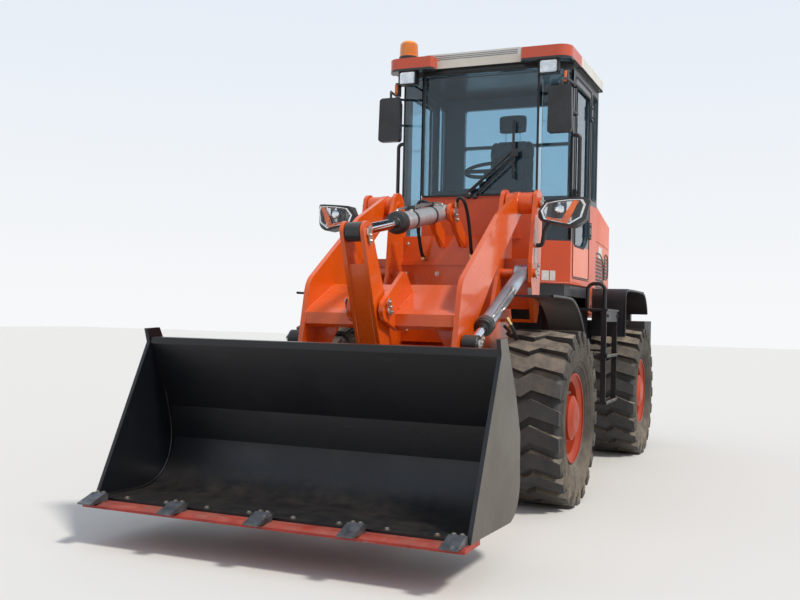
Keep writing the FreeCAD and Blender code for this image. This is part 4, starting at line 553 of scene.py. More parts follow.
def slab(low, high, ease=0.003, steps=3):
    """Rounded block: a smaller block grown outwards by a ball, whose latitudes give the rings."""
    low, high = np.array(low, float), np.array(high, float)
    ease = min(ease, 0.49 * (high - low).min())
    middle, half = (low + high) / 2, (high - low) / 2 - ease
    quarter = np.linspace(0, np.pi / 2, steps + 1)
    turn = np.concatenate([quarter + n * np.pi / 2 for n in range(4)])
    sign_x = np.repeat([1, -1, -1, 1], steps + 1)
    sign_y = np.repeat([1, 1, -1, -1], steps + 1)
    rise = np.linspace(0, 1.45, steps)
    rise = np.concatenate([-rise[::-1], rise])
    level = np.sign(np.arange(2 * steps) - steps + 0.5)
    rings = np.stack(np.broadcast_arrays(
        middle[0] + sign_x * half[0] + ease * np.cos(rise)[:, None] * np.cos(turn),
        middle[1] + sign_y * half[1] + ease * np.cos(rise)[:, None] * np.sin(turn),
        (middle[2] + level * half[2] + ease * np.sin(rise))[:, None]), -1)
    return loft(rings)


plate_white = finish("bare_plate", (0.70, 0.70, 0.68), (0.58, 0.57, 0.54), patch=30, grain=200,
                     rough=(0.35, 0.5), bump=0.05, dust=0.2, scuff=0.25, scuff_tone=(0.42, 0.38, 0.33))
PLATES = [  # low corner and high corner: across, back, up
    ((0.6137, 0.115, 1.60), (0.6152, 0.150, 1.70)), ((0.6137, 0.120, 1.48), (0.6152, 0.170, 1.58)),
]


def tag(corners, outward, thick=0.0015):
    """A thin bare plate: its four corners in order, and the same four pushed out along the normal."""
    corners = np.array(corners, float)
    outward = np.array(outward, float) / np.linalg.norm(outward)
    return loft([corners - outward * 0.0005, corners + outward * thick])


tags = [slab(at(*low), at(*high), 0.0006) for low, high in PLATES]
tags.append(tag([(0.588, -0.6765, 1.325), (0.611, -0.6765, 1.325), (0.611, -0.658, 1.262),
                 (0.588, -0.658, 1.262)], (0, -0.95, -0.3)))
piece("tower_plates", tags, plate_white, "front_frame")


# Hydraulic cylinders: honed steel barrels, the tilt barrel grey, the lift barrels darker with a bright
# sheen, black glands, chromed rods with black eyes, and steel pipes with hex nuts strapped along them.
chrome = finish("rod_chrome", (0.86, 0.87, 0.88), (0.72, 0.73, 0.75), patch=30, grain=300,
                rough=(0.05, 0.14), metal=1.0, bump=0.01)
eye_iron = finish("rod_eye_iron", (0.030, 0.029, 0.028), (0.016, 0.016, 0.016), patch=20, grain=160,
                  rough=(0.35, 0.55), bump=0.2, dust=0.15)
tilt_steel = finish("tilt_steel", (0.70, 0.71, 0.72), (0.52, 0.53, 0.54), patch=9, grain=260,
                    rough=(0.26, 0.40), metal=0.55, bump=0.05, scuff=0.15, scuff_tone=(0.20, 0.19, 0.17),
                    lie=(9, 1, 9))
lift_steel = finish("lift_steel", (0.50, 0.55, 0.62), (0.32, 0.36, 0.42), patch=6, grain=260,
                    rough=(0.16, 0.28), metal=0.6, bump=0.03, scuff=0.12, scuff_tone=(0.22, 0.20, 0.18),
                    lie=(9, 2, 2))
black_iron = finish("black_iron", (0.022, 0.022, 0.023), (0.012, 0.012, 0.013), patch=14, grain=180,
                    rough=(0.3, 0.5), bump=0.2, coat=0.2, dust=0.2)
hose_rubber = finish("hose_rubber", (0.018, 0.018, 0.019), (0.010, 0.010, 0.010), patch=20, grain=420,
                     rough=(0.45, 0.62), bump=0.5, dust=0.15)
brass = finish("brass", (0.62, 0.46, 0.20), (0.42, 0.30, 0.13), patch=60, grain=200, rough=(0.25, 0.4),
               metal=1.0, bump=0.05)
dress(chrome, "tilt_rod", "lift_rod_left", "lift_rod_right", "steer_rod_left", "steer_rod_right")
eyes = [("tilt_rod", (0.0, -1.968, 1.570), 0.0485, 0.047),
        ("lift_rod_left", (0.537, -1.608, 0.985), 0.0485, 0.0425),
        ("lift_rod_right", (-0.537, -1.608, 0.985), 0.0485, 0.0425)]
for rod, spot, radius, half in eyes:
    sleeve = turned([(-half, radius - 0.012), (-half, radius - 0.001), (-half + 0.003, radius + 0.001),
                     (half - 0.003, radius + 0.001), (half, radius - 0.001), (half, radius - 0.012)], spot,
                    (1, 0, 0), 40)
    piece(f"{rod}_eye", [sleeve], eye_iron, rod)
dress(tilt_steel, "tilt_barrel")
dress(lift_steel, "lift_barrel_left", "lift_barrel_right", "steer_barrel_left", "steer_barrel_right")


def gland(base, way, start, end, radius, rod):
    """A screwed gland on a barrel's mouth: ribbed sleeve, spanner groove and wiper lip round the rod."""
    ribs = [(start, radius), (start + 0.006, radius + 0.004), (end - 0.016, radius + 0.004),
            (end - 0.014, radius), (end - 0.009, radius), (end - 0.007, radius + 0.003),
            (end, radius + 0.001), (end + 0.006, radius - 0.010), (end + 0.008, rod + 0.008),
            (end + 0.014, rod + 0.003), (end + 0.014, rod + 0.001), (start, rod + 0.001)]
    return turned(ribs, base, way, 44, closed=True)


def pipe_pair(base, way, over, start, end, spread, lift, radius=0.0075):
    """Two steel pipes side by side along a barrel, cranked into their ports, with a hex nut at each end."""
    way, over = np.asarray(way), np.asarray(over)
    aside = np.cross(way, over)
    parts = []
    for n in (-1, 1):
        far = end if n > 0 else end - 0.16
        line = [base + way * start + over * (lift - 0.006) + aside * n * spread,
                base + way * (start + 0.05) + over * (lift + 0.012) + aside * n * spread,
                base + way * (far - 0.05) + over * (lift + 0.012) + aside * n * spread,
                base + way * (far - 0.01) + over * (lift + 0.010) + aside * n * spread,
                base + way * far + over * (lift - 0.016) + aside * n * spread * 0.8]
        parts.append(tube(eased(line), radius))
        for spot, along in ((line[0] + way * 0.004, way), (line[-1] + over * 0.004, over)):
            parts.append(turned([(-0.010, 0.0135), (0.010, 0.0135), (0.013, 0.011)], spot, along, 6))
    return parts


tilt_base = pivot["tilt_barrel_swing"] * (0, 1, 1)
tilt_way = (top_hub - tilt_base) / np.linalg.norm(top_hub - tilt_base)
tilt_over = np.array((0, tilt_way[2], -tilt_way[1]))
TILT_MOUTH, TILT_BARREL, TILT_ROD = 0.760, 0.056, 0.030
piece("tilt_gland", [gland(tilt_base, tilt_way, TILT_MOUTH - 0.064, TILT_MOUTH, TILT_BARREL + 0.008,
                                   TILT_ROD)], black_iron, "tilt_barrel")
straps = [turned([(a, TILT_BARREL + 0.0008), (a, TILT_BARREL + 0.003), (a + 0.022, TILT_BARREL + 0.003),
                  (a + 0.022, TILT_BARREL + 0.0008)], tilt_base, tilt_way, 40, closed=True)
          for a in (0.20, 0.52)]
for reach in (0.212, 0.532):
    strap = tilt_base + tilt_way * reach + tilt_over * 0.060
    straps.append(slab(strap + (-0.030, -0.009, -0.004), strap + (0.030, 0.009, 0.024)))
piece("tilt_pipe_straps", straps, black_iron, "tilt_barrel")
piece("tilt_pipes", pipe_pair(tilt_base, tilt_way, tilt_over, 0.03, 0.70, 0.018, 0.062), zinc,
              "tilt_barrel")
piece("tilt_eye_boss", [turned([(-0.0425, 0.050), (-0.0425, 0.0530), (0.0425, 0.0530),
                                        (0.0425, 0.050)], top_hub, (1, 0, 0), 40, closed=True)], black_iron,
              "tilt_rod")

lift_eye_hub = at(0.537, -0.860, 0.985)
LIFT_MOUTH, LIFT_BARREL, LIFT_ROD = 0.860, 0.044, 0.025
for label, side in (("left", 1), ("right", -1)):
    base = pivot[f"lift_barrel_swing_{label}"] * (0, 1, 1) + (side * 0.537, 0, 0)
    eye = lift_eye_hub * (side, 1, 1)
    along = (eye - base) / np.linalg.norm(eye - base)
    over = np.array((0, along[2], -along[1]))
    piece(f"lift_gland_{label}",
                  [gland(base, along, LIFT_MOUTH - 0.064, LIFT_MOUTH, LIFT_BARREL + 0.008, LIFT_ROD)],
                  black_iron, f"lift_barrel_{label}")
    # the pipes lie on the barrel's outer side, as the photograph shows
    outer = np.array((side, 0.0, 0.0))
    piece(f"lift_pipes_{label}",
                  pipe_pair(base, along, over * 0.5 + outer * 0.866, 0.34, 0.80, 0.014, 0.049, 0.0065),
                  zinc, f"lift_barrel_{label}")
    piece(f"lift_eye_keeper_{label}", keeper(eye + (side * 0.043, 0, 0), side, 0.9), zinc,
                  f"lift_rod_{label}")
    stub = pivot[f"steer_barrel_swing_{label}"]
    piece(f"steer_gland_{label}", [gland(stub, (0, -1, 0), 0.352, 0.400, 0.038, 0.018)], black_iron,
                  f"steer_barrel_{label}")


# Short hydraulic hoses with brass fittings, all of them fixed to the front frame. The tilt cylinder's two
# hoses arch over the ears and dive through the tower's cover; the other four hang below the lift cylinders.
TOWER_HOSES = [  # fitting, arch, fall and bulkhead of each hose: across, back, up
    [(0.100, 0.085, 1.865), (0.116, 0.035, 1.905), (0.162, 0.028, 1.900), (0.168, 0.105, 1.800),
     (0.158, 0.195, 1.640), (0.148, 0.240, 1.560), (0.145, 0.293, 1.540)],
    [(-0.100, 0.085, 1.865), (-0.112, 0.040, 1.895), (-0.168, 0.040, 1.880), (-0.195, 0.110, 1.770),
     (-0.205, 0.200, 1.620), (-0.205, 0.240, 1.545), (-0.203, 0.293, 1.525)],
]
hoses, ends = [], []
for run in TOWER_HOSES:
    line = np.array([at(*spot) for spot in run])
    hoses.append(tube(eased(line), 0.0115, 14))
    ends.append(turned([(-0.004, 0.016), (0.020, 0.016), (0.022, 0.013), (0.045, 0.013)], line[-1],
                       (0, -1, 0), 6))
    into = (line[1] - line[0]) / np.linalg.norm(line[1] - line[0])
    ends.append(turned([(-0.014, 0.015), (0.010, 0.015), (0.012, 0.0135), (0.032, 0.0135)], line[0], into,
                       6))
for side in (1, -1):
    run = [(0.582, -0.330, 1.118), (0.612, -0.322, 1.070), (0.618, -0.285, 1.020), (0.590, -0.180, 0.990),
           (0.540, -0.080, 1.030), (0.470, -0.030, 1.080)]
    for drop in (0.0, 0.045):
        line = np.array([at(side * x, y + drop * 1.4, z - drop) for x, y, z in run])
        hoses.append(tube(eased(line), 0.0105, 14))
        into = (line[1] - line[0]) / np.linalg.norm(line[1] - line[0])
        ends.append(turned([(-0.016, 0.015), (0.010, 0.015), (0.012, 0.0125), (0.034, 0.0125)], line[0],
                           into, 6))
piece("tower_hoses", hoses, hose_rubber, "front_frame")
piece("hose_fittings", ends, brass, "front_frame")


# Headlamps: black moulded pods on bent tubes, each with a chromed reflector bowl, a rippled clear lens, a
# bulb, and an orange signal stripe that slants across the lens and runs along its foot.
moulding = finish("black_moulding", (0.026, 0.026, 0.028), (0.016, 0.016, 0.017), patch=10, grain=320,
                  rough=(0.32, 0.5), bump=0.25, dust=0.12)
dress(moulding, "headlamps")
reflector = finish("lamp_reflector", (0.88, 0.89, 0.90), (0.66, 0.67, 0.68), patch=26, grain=90,
                   rough=(0.06, 0.2), metal=1.0, bump=0.6)
signal = finish("signal_lens", (0.90, 0.20, 0.02), (0.72, 0.10, 0.01), patch=30, grain=120,
                rough=(0.12, 0.2), bump=0.4, coat=0.8)


def clear(name, tint, rough=0.03, ripple=0.0, lean=1.45):
    """Glass or clear plastic: light passes with a tint, and a faint wave in the surface bends its gloss."""
    made = bpy.data.materials.new(name)
    made.use_nodes = True
    tree = made.node_tree
    shader = tree.nodes["Principled BSDF"]
    shader.inputs["Transmission Weight"].default_value = 1.0
    shader.inputs["Roughness"].default_value = rough
    shader.inputs["IOR"].default_value = lean
    spot = wire(tree, "TexCoord").outputs["Object"]
    cloud = wire(tree, "TexNoise", {"Vector": spot, "Scale": 1.3, "Detail": 3.0}).outputs[0]
    paler = tuple(min(1.0, 1.06 * part) for part in tint)
    tone = wire(tree, "Mix", {0: cloud, 6: (*tint, 1), 7: (*paler, 1)}, data_type="RGBA").outputs[2]
    tree.links.new(tone, shader.inputs["Base Color"])
    if ripple:
        wave = wire(tree, "TexNoise", {"Vector": spot, "Scale": 90.0}).outputs[0]
        relief = wire(tree, "Bump", {"Height": wave, "Strength": ripple, "Distance": 0.004}).outputs[0]
        tree.links.new(relief, shader.inputs["Normal"])
    return made


def dished(outline, steps):
    """A skin over copies of an outline, each drawn towards its middle by a share and set back by a depth."""
    heart = outline.mean(axis=0)
    return loft([heart + (outline - heart) * share + (0, deep, 0) for share, deep in steps])


lamp_clear = clear("lamp_lens", (0.93, 0.95, 0.96), 0.02, 0.5)
# outline of the lens on the pod's slanting front, low inner corner first: across, up, and how far back
LENS = np.array([(0.684, 1.760, 0.082), (0.760, 1.742, 0.062), (0.846, 1.724, 0.073), (0.914, 1.768, 0.101),
                 (0.934, 1.850, 0.120), (0.920, 1.878, 0.105), (0.846, 1.876, 0.073),
                 (0.770, 1.868, 0.0635), (0.700, 1.858, 0.078), (0.664, 1.812, 0.086)])
lens_ring = np.stack([LENS[:, 0], LENS[:, 2] - 0.007 + AXLE_Y, LENS[:, 1]], 1)
lens_parts, bowl_parts, signal_parts = [], [], []
for side in (1, -1):
    ring = lens_ring * (side, 1, 1)
    bowl_parts.append(dished(ring,
                             [(1.03, 0.004), (1.02, -0.004), (0.93, -0.005), (0.86, 0.0), (0.80, 0.002)]))
    lens_parts.append(dished(ring, [(0.92, -0.004), (0.92, -0.010), (0.80, -0.015), (0.40, -0.019)]))
    stripe = np.array([(0.792, 0.052, 1.738), (0.836, 0.056, 1.728), (0.902, 0.080, 1.868),
                       (0.868, 0.066, 1.870)])
    base_line = np.array([(0.700, 0.062, 1.757), (0.792, 0.051, 1.738), (0.800, 0.052, 1.752),
                          (0.706, 0.062, 1.771)])
    for band in (stripe, base_line):
        band = band * (side, 1, 1) + (0, AXLE_Y, 0)
        signal_parts.append(loft([band + (0, 0.004, 0), band + (0, -0.004, 0)]))
    bulb = ring.mean(axis=0) + (side * -0.02, -0.013, 0.004)
    bowl_parts.append(turned([(0.0, 0.030), (0.004, 0.031), (0.007, 0.026), (0.009, 0.012)], bulb,
                             (0, -1, 0), 24))
piece("headlamp_bowls", bowl_parts, reflector, "front_frame")
piece("headlamp_lenses", lens_parts, lamp_clear, "front_frame")
piece("headlamp_signals", signal_parts, signal, "front_frame")


# Front mudguards: rolled sheet in satin black, with a tone painted on the faces that look down as painted
# shade, and a round bead along the edge on the outer side.
# sheet_black paints the faces that look down in their own tone: painted shade under the guards, steps and
# frame.
sheet_black = finish("black_sheet", (0.009, 0.010, 0.013), (0.006, 0.006, 0.008), patch=3, grain=200,
                     rough=(0.34, 0.5), bump=0.08, dust=0.03, splash=(0.35, 0.75), scuff=0.06,
                     scuff_tone=(0.05, 0.045, 0.04), under=(0.010, 0.009, 0.008))
dress(sheet_black, "front_mudguards", "mudguards_and_steps")
GUARD_RUN = [(-0.330, 1.265), (0.100, 1.265), (0.230, 1.250), (0.400, 1.175), (0.5640, 1.043),
             (0.640, 0.930), (0.705, 0.803)]
edges = [tube(eased(line_at(side * 0.846, GUARD_RUN), 2), 0.008) for side in (1, -1)]
piece("front_guard_edges", edges, sheet_black, "front_frame")


# Rear frame, platforms and ladders: welded plate in satin black; serrated treads with worn edges, a filler
# cap on each tank, bolts on the platforms' sides, and a round bead along each rear mudguard's edge.
dress(sheet_black, "rear_frame")
tread_worn = finish("tread_worn", (0.20, 0.185, 0.165), (0.060, 0.056, 0.052), patch=18, grain=150,
                    rough=(0.4, 0.7), metal=0.4, bump=0.3, dust=0.5)
STEP_TOPS, PLATFORM_TOP = (0.516, 0.866), 1.214
REAR_GUARD_RUN = [(1.962, 1.010), (1.962, 1.285), (1.985, 1.352), (2.060, 1.384), (2.882, 1.384),
                  (3.010, 1.340), (3.090, 1.260), (3.122, 1.196)]
teeth = slab((0.0, 0.0, 0.0), (0.010, 0.016, 0.007), 0.002)
grip = slab((0.0, 0.0, 0.0), (0.030, 0.006, 0.004), 0.0015)
serration = []
for side in (1, -1):
    for top in STEP_TOPS:
        rows = [at(side * (0.684 + 0.052 * row) - (0.010 if side < 0 else 0), 1.385 + 0.034 * n, top)
                for row in range(4) for n in range(13)]
        serration.append(repeated(teeth, rows))
        rim = [at(side * 0.848, 1.374, top + 0.001), at(side * 0.848, 1.820, top + 0.001)]
        serration.append(tube(rim, 0.005, 8))
    serration.append(repeated(grip, [at(side * (0.640 + 0.048 * row) - (0.030 if side < 0 else 0),
                                        1.385 + 0.026 * n + 0.013 * (row % 2), PLATFORM_TOP)
                                     for row in range(4) for n in range(17)]))
piece("tread_grips", serration, tread_worn, "rear_frame")
fixings = []
for side in (1, -1):
    cap_base = at(side * 0.560, 1.440, PLATFORM_TOP)
    fixings.append(turned([(0.0, 0.046), (0.012, 0.046), (0.016, 0.040), (0.022, 0.040), (0.030, 0.036),
                           (0.032, 0.020)], cap_base, (0, 0, 1), 32))
    fixings += bolts([at(side * 0.841, y, 1.165) for y in (1.42, 1.80)], (side, 0, 0), 0.010)
    fixings += bolts([at(side * 0.841, y, z) for y in (1.40, 1.80) for z in (0.52, 0.88)], (side, 0, 0),
                     0.008)
    fixings.append(tube(eased(line_at(side * 0.876, REAR_GUARD_RUN), 2), 0.008))
piece("platform_fixings", fixings, sheet_black, "rear_frame")


# Counterweight: rough black casting, splashed with mud below, with two raised cast pads and four big bolts
# on its back.
weight_cast = finish("weight_cast", (0.038, 0.037, 0.036), (0.022, 0.022, 0.022), patch=5, grain=110,
                     rough=(0.5, 0.75), bump=0.7, dust=0.5, splash=(0.42, 0.85), scuff=0.15,
                     scuff_tone=(0.16, 0.14, 0.11))
dress(weight_cast, "counterweight")
WEIGHT_BACK = 3.700
blocks = [slab(at(side * 0.44 - 0.19, WEIGHT_BACK - 0.012, 0.62),
               at(side * 0.44 + 0.19, WEIGHT_BACK - 0.001, 0.98), 0.010)
          for side in (1, -1)]
blocks += bolts([at(x, WEIGHT_BACK - 0.008, 0.80) for x in (-0.58, -0.30, 0.30, 0.58)], (0, 1, 0), 0.017)
piece("weight_pads", blocks, weight_cast, "rear_frame")


# Engine hood: thin pressed sheet in orange, hinged at its front; black louvre panels and a bare plate on
# each side, a pressed swage down each flank, rubber-faced latches and a black grille at its tail.
HOOD_HEART = (0.0, 1.85, 1.62)
# Like orange_paint, hood_orange mixes the sunlit ORANGE with SHADED_ORANGE, its painted shade, in soft
# patches.
hood_orange = finish("hood_orange", ORANGE, SHADED_ORANGE, patch=1.6, grain=240, rough=(0.34, 0.48),
                     bump=0.04, coat=0.12, dust=0.1, splash=(0.2, 1.0), scuff=0.04,
                     scuff_tone=(0.55, 0.16, 0.05), inside=(HOOD_HEART, (0.05, 0.05, 0.05)),
                     zones=(((-0.31, 2.60, 1.27), (0.31, 2.66, 1.80), (0.016, 0.016, 0.018)),))
dress(hood_orange, "engine_hood")


def flank(side, back, up, out=0.0):
    """A place on the hood's side, which draws in from the front to the shoulder."""
    return at(side * (0.600 - 0.070 * (back - 1.850) / 1.210 + out), back, up)


vents, trims, latches = [], [], []
for side in (1, -1):
    for back, up, long, high in ((2.08, 1.36, 0.60, 0.34), (2.74, 1.50, 0.26, 0.22)):
        frame_run = [flank(side, y, z, 0.001)
                     for y, z in ((back, up), (back + long, up), (back + long, up + high),
                                  (back, up + high), (back, up))]
        vents.append(tube(eased(frame_run, 2), 0.007, 8))
        rows = int(high / 0.030)
        for n in range(1, rows):
            z = up + n * 0.030
            blade = [flank(side, back + 0.012, z), flank(side, back + long - 0.012, z)]
            vents.append(loft([[spot + (side * dx, 0, dz) for dx, dz in
                                ((-0.001, 0.008), (0.0085, -0.006), (0.0085, -0.009), (-0.001, -0.004))]
                               for spot in blade]))
    swage = [flank(side, y, z, 0.0005) for y, z in ((1.90, 1.80), (2.60, 1.795), (3.02, 1.780))]
    trims.append(tube(swage, 0.006, 8))
    trims.append(tube([flank(side, y, 1.175, 0.0005) for y in (1.87, 3.04)], 0.007, 8))
    for back in (2.00, 2.86):
        latches.append(slab(flank(side, back, 1.235, -0.004) - (0.008, 0.030, 0.018),
                            flank(side, back, 1.235, -0.004) + (0.012 if side > 0 else 0.008, 0.030, 0.018),
                            0.005))
piece("hood_louvres", vents, moulding, "engine_hood")
piece("hood_swages", trims, hood_orange, "engine_hood")
piece("hood_latches", latches, moulding, "engine_hood")
tags = [tag([flank(side, y, z) for y, z in ((2.38, 1.765), (2.60, 1.760), (2.60, 1.655), (2.38, 1.660))],
            (side, 0.06, 0))
        for side in (1, -1)]
piece("hood_plates", tags, plate_white, "engine_hood")


# Cab shell and doors: folded and welded steel, orange below the glass line, satin black round the glass and
# on the base, blue grey inside; rubber seals round the panes, weld lines round the nose, two bare plates on
# the left front corner, and hinge bolts and a handle with its lock on each door.
CAB_LOW, CAB_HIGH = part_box("cab_shell")
CAB_HEART = (0.0, float(CAB_LOW[1] + CAB_HIGH[1]) / 2, 2.15)
CAB_LINING = (0.070, 0.110, 0.135)
BELT, BLACK_SATIN = 2.022, (0.018, 0.018, 0.020)
# cab_paint's orange is darker and redder than ORANGE, which the doors carry. The difference is painted shade
# for the shade on the cab's front panels.
cab_paint = finish("cab_paint", (0.66, 0.075, 0.006), (0.56, 0.055, 0.005), patch=1.6, grain=240,
                   rough=(0.30, 0.44), bump=0.04, coat=0.15, dust=0.08, scuff=0.04,
                   scuff_tone=(0.55, 0.16, 0.05), inside=(CAB_HEART, CAB_LINING),
                   zones=(((-2, -2, BELT), (2, 4, 4), BLACK_SATIN),
                          ((-2, -2, 0), (2, 4, 1.384), BLACK_SATIN),
                          ((0.462, -2, 1.690), (2, 0.235, 4), BLACK_SATIN),
                          ((-2, -2, 1.690), (-0.462, 0.235, 4), BLACK_SATIN)))
dress(cab_paint, "cab_shell")
door_paint = finish("door_paint", BLACK_SATIN, (0.012, 0.012, 0.013), patch=2, grain=240, rough=(0.25, 0.4),
                    bump=0.05, coat=0.35, dust=0.1, inside=(CAB_HEART, CAB_LINING),
                    zones=(((0.60, -2, 1.0), (0.6705, 4, 1.672), ORANGE),
                           ((-0.6705, -2, 1.0), (-0.60, 4, 1.672), ORANGE)))
dress(door_paint, "door_left", "door_right")


def edging(corners, normal, width, depth):
    """A strip round a flat outline: at each corner a small section, mitred into the outline's plane."""
    corners, normal = np.asarray(corners, float), np.asarray(normal, float)
    before = corners - np.roll(corners, 1, 0)
    after = np.roll(corners, -1, 0) - corners
    before /= np.linalg.norm(before, axis=1)[:, None]
    after /= np.linalg.norm(after, axis=1)[:, None]
    first, second = np.cross(normal, before), np.cross(normal, after)
    mitre = (first + second) / (1 + (first * second).sum(1))[:, None]
    section = ((0.0, 0.0), (0.0, 0.8), (0.35, 1.0), (0.65, 1.0), (1.0, 0.8), (1.0, 0.0))
    return loft(np.stack([corners + mitre * width * share + normal * depth * rise
                          for share, rise in section], 1), closed=True)


def softened(corners, radius, steps=4):
    """The outline with each corner rounded by a quadratic curve that starts a radius away on both sides."""
    corners = np.asarray(corners, float)
    back = np.roll(corners, 1, 0) - corners
    ahead = np.roll(corners, -1, 0) - corners
    start = corners + back / np.linalg.norm(back, axis=1)[:, None] * radius
    end = corners + ahead / np.linalg.norm(ahead, axis=1)[:, None] * radius
    part = np.linspace(0, 1, steps)[None, :, None]
    curve = ((1 - part) ** 2 * start[:, None] + 2 * part * (1 - part) * corners[:, None]
             + part ** 2 * end[:, None])
    return curve.reshape(-1, 3)


seal_rubber = finish("seal_rubber", (0.016, 0.016, 0.017), (0.010, 0.010, 0.011), patch=12, grain=300,
                     rough=(0.5, 0.7), bump=0.2)
PANE_FRONT, PANE_REAR, CAB_SIDE = 0.800, 1.820, 0.660
WINDOWS = [  # half width, back, foot and top of each pane, and the way it faces
    (0.430, PANE_FRONT, 2.030, 2.920, -1), (0.457, PANE_REAR, 2.130, 2.540, 1),
    (0.457, PANE_REAR, 2.564, 2.870, 1),
]
SIDE_WINDOW = [(1.615, 2.080), (1.765, 2.080), (1.765, 2.880), (1.615, 2.880)]
seals = []
for half, back, low, high, way in WINDOWS:
    outline = [at(x * way, back, z) for x, z in ((half, low), (-half, low), (-half, high), (half, high))]
    seals.append(edging(softened(outline, 0.018), (0, way, 0), -0.016, 0.006))
seals += [edging(softened(line_at(side * CAB_SIDE, SIDE_WINDOW[::side]), 0.018), (side, 0, 0), -0.014, 0.005)
          for side in (1, -1)]
piece("window_seals", seals, seal_rubber, "rear_frame")
nose = [weld([at(x, 0.7975, 2.008) for x in (-0.445, 0.445)], 0.0035)]
nose += [weld([at(side * x, y, 1.392) for x, y in ((0.0, 0.7985), (0.450, 0.7985), (0.6585, 0.930))], 0.003)
         for side in (1, -1)]
piece("cab_welds", nose, cab_paint, "rear_frame")
CORNER = np.array((0.842, 0.540, 0.0))  # along the slanted panel at the cab's left front corner
tags = [tag([np.array((0.477, 0.0685, 0.0)) + CORNER * a + (0, 0, z) for a, z in
             ((start, 1.475), (end, 1.475), (end, 1.405), (start, 1.405))], (0.54, -0.842, 0))
        for start, end in ((0.004, 0.058), (0.066, 0.120))]
piece("cab_plates", tags, plate_white, "rear_frame")
DOOR_WINDOW = [(1.045, 1.660), (1.360, 1.660), (1.470, 1.720), (1.500, 1.790), (1.500, 2.840), (1.045, 2.840)]
DOOR_EDGE = [(0.995, 1.435), (1.550, 1.435), (1.550, 2.890), (0.995, 2.890)]
for label, side in (("left", 1), ("right", -1)):
    trim = [edging(softened(line_at(side * CAB_SIDE, DOOR_WINDOW[::side]), 0.02), (side, 0, 0), 0.014, 0.005),
            edging(softened(line_at(side * (CAB_SIDE + 0.0002), DOOR_EDGE[::side]), 0.03), (side, 0, 0),
                   0.008, 0.0035)]
    trim += bolts([at(side * 0.675, y, z) for z in (1.780, 1.850, 2.692, 2.762) for y in (1.522, 1.540)],
                  (side, 0, 0), 0.006)
    trim.append(slab(at(side * 0.690 - 0.006, 1.006, 1.968), at(side * 0.690 + 0.006, 1.026, 2.052), 0.006))
    trim.append(turned([(0.0, 0.011), (0.007, 0.011), (0.009, 0.008)], at(side * 0.680, 1.016, 2.047),
                       (side, 0, 0), 16))
    piece(f"door_trim_{label}", trim, seal_rubber, f"door_{label}")


# Glass: safety panes bonded into the openings, tinted blue, partly their own tint and partly a painted
# reflection of the sky, with a faint cloud in their tint; the windscreen, rear and side panes are one node,
# and each door has its own.
tinted = clear("tinted_glass", (0.46, 0.64, 0.74), 0.01)
dress(tinted, "cab_glass", "door_glass_left", "door_glass_right")


# Roof: a black pan with a cream skin, orange moulded corner caps over the work lamps, and a slatted rack.
CAP_ORANGE, PAN_BLACK = (0.55, 0.075, 0.030), (0.014, 0.014, 0.015)
roof_paint = finish("roof_paint", (0.72, 0.68, 0.60), (0.62, 0.58, 0.50), patch=3, grain=200,
                    rough=(0.3, 0.45), bump=0.06, coat=0.3, dust=0.25, under=PAN_BLACK,
                    zones=(((0.328, -0.20, 2.9), (0.80, 0.294, 3.042), CAP_ORANGE),
                           ((-0.80, -0.20, 2.9), (-0.328, 0.294, 3.042), CAP_ORANGE),
                           ((-0.46, 0.08, 3.041), (0.30, 0.44, 3.2), (0.66, 0.66, 0.64)),
                           ((-0.80, -0.20, 2.90), (0.80, 1.2, 2.962), PAN_BLACK)))
dress(roof_paint, "cab_roof")
gutter = [edging([at(x, y, 2.968)
                  for x, y in ((-0.690, 1.832), (0.690, 1.832), (0.690, 1.045), (-0.690, 1.045))][::-1],
                 (0, 0, -1), -0.012, 0.012)]
piece("roof_gutter", gutter, seal_rubber, "rear_frame")


# Lamps of the cab and tail: an amber ribbed beacon on a black foot, two clear work lamps in black bezels
# under the caps, a small amber marker lamp on a bracket at each front pillar, and red and amber tail lamps.
lamp_cases = finish("lamp_cases", (0.020, 0.020, 0.021), (0.013, 0.013, 0.014), patch=9, grain=250,
                    rough=(0.3, 0.45), bump=0.15,
                    zones=(((-0.70, -0.2, 3.072), (-0.40, 0.3, 3.3), (1.0, 0.34, 0.015)),))
dress(lamp_cases, "lamps")
amber = finish("amber_dome", (1.0, 0.36, 0.015), (0.98, 0.26, 0.008), patch=24, grain=90,
               rough=(0.08, 0.16), coat=0.9)
amber.node_tree.nodes["Principled BSDF"].inputs["Transmission Weight"].default_value = 0.35
beacon_base = at(-0.562, 0.780, 3.0406)
ribs = np.linspace(0.036, 0.126, 61)
dome = np.stack([ribs, 0.0700 - 0.0040 * (ribs - 0.036) / 0.090
                 + 0.0010 * np.cos(ribs * 2 * np.pi / 0.0075)], 1)
dome = np.concatenate([[(0.032, 0.0715), (0.036, 0.0715)], dome,
                       [(0.1345, 0.0610), (0.1415, 0.0530), (0.1465, 0.0400), (0.1488, 0.0200),
                        (0.1489, 0.0040)]])
piece("beacon_dome", [turned(dome, beacon_base, (0, 0, 1), 48)], amber, "rear_frame")
tail_red = finish("tail_red", (0.62, 0.02, 0.015), (0.40, 0.012, 0.010), patch=40, grain=160,
                  rough=(0.12, 0.22), bump=0.5, coat=0.8)
glasses, bowls, reds, ambers, cases = [], [], [], [], []
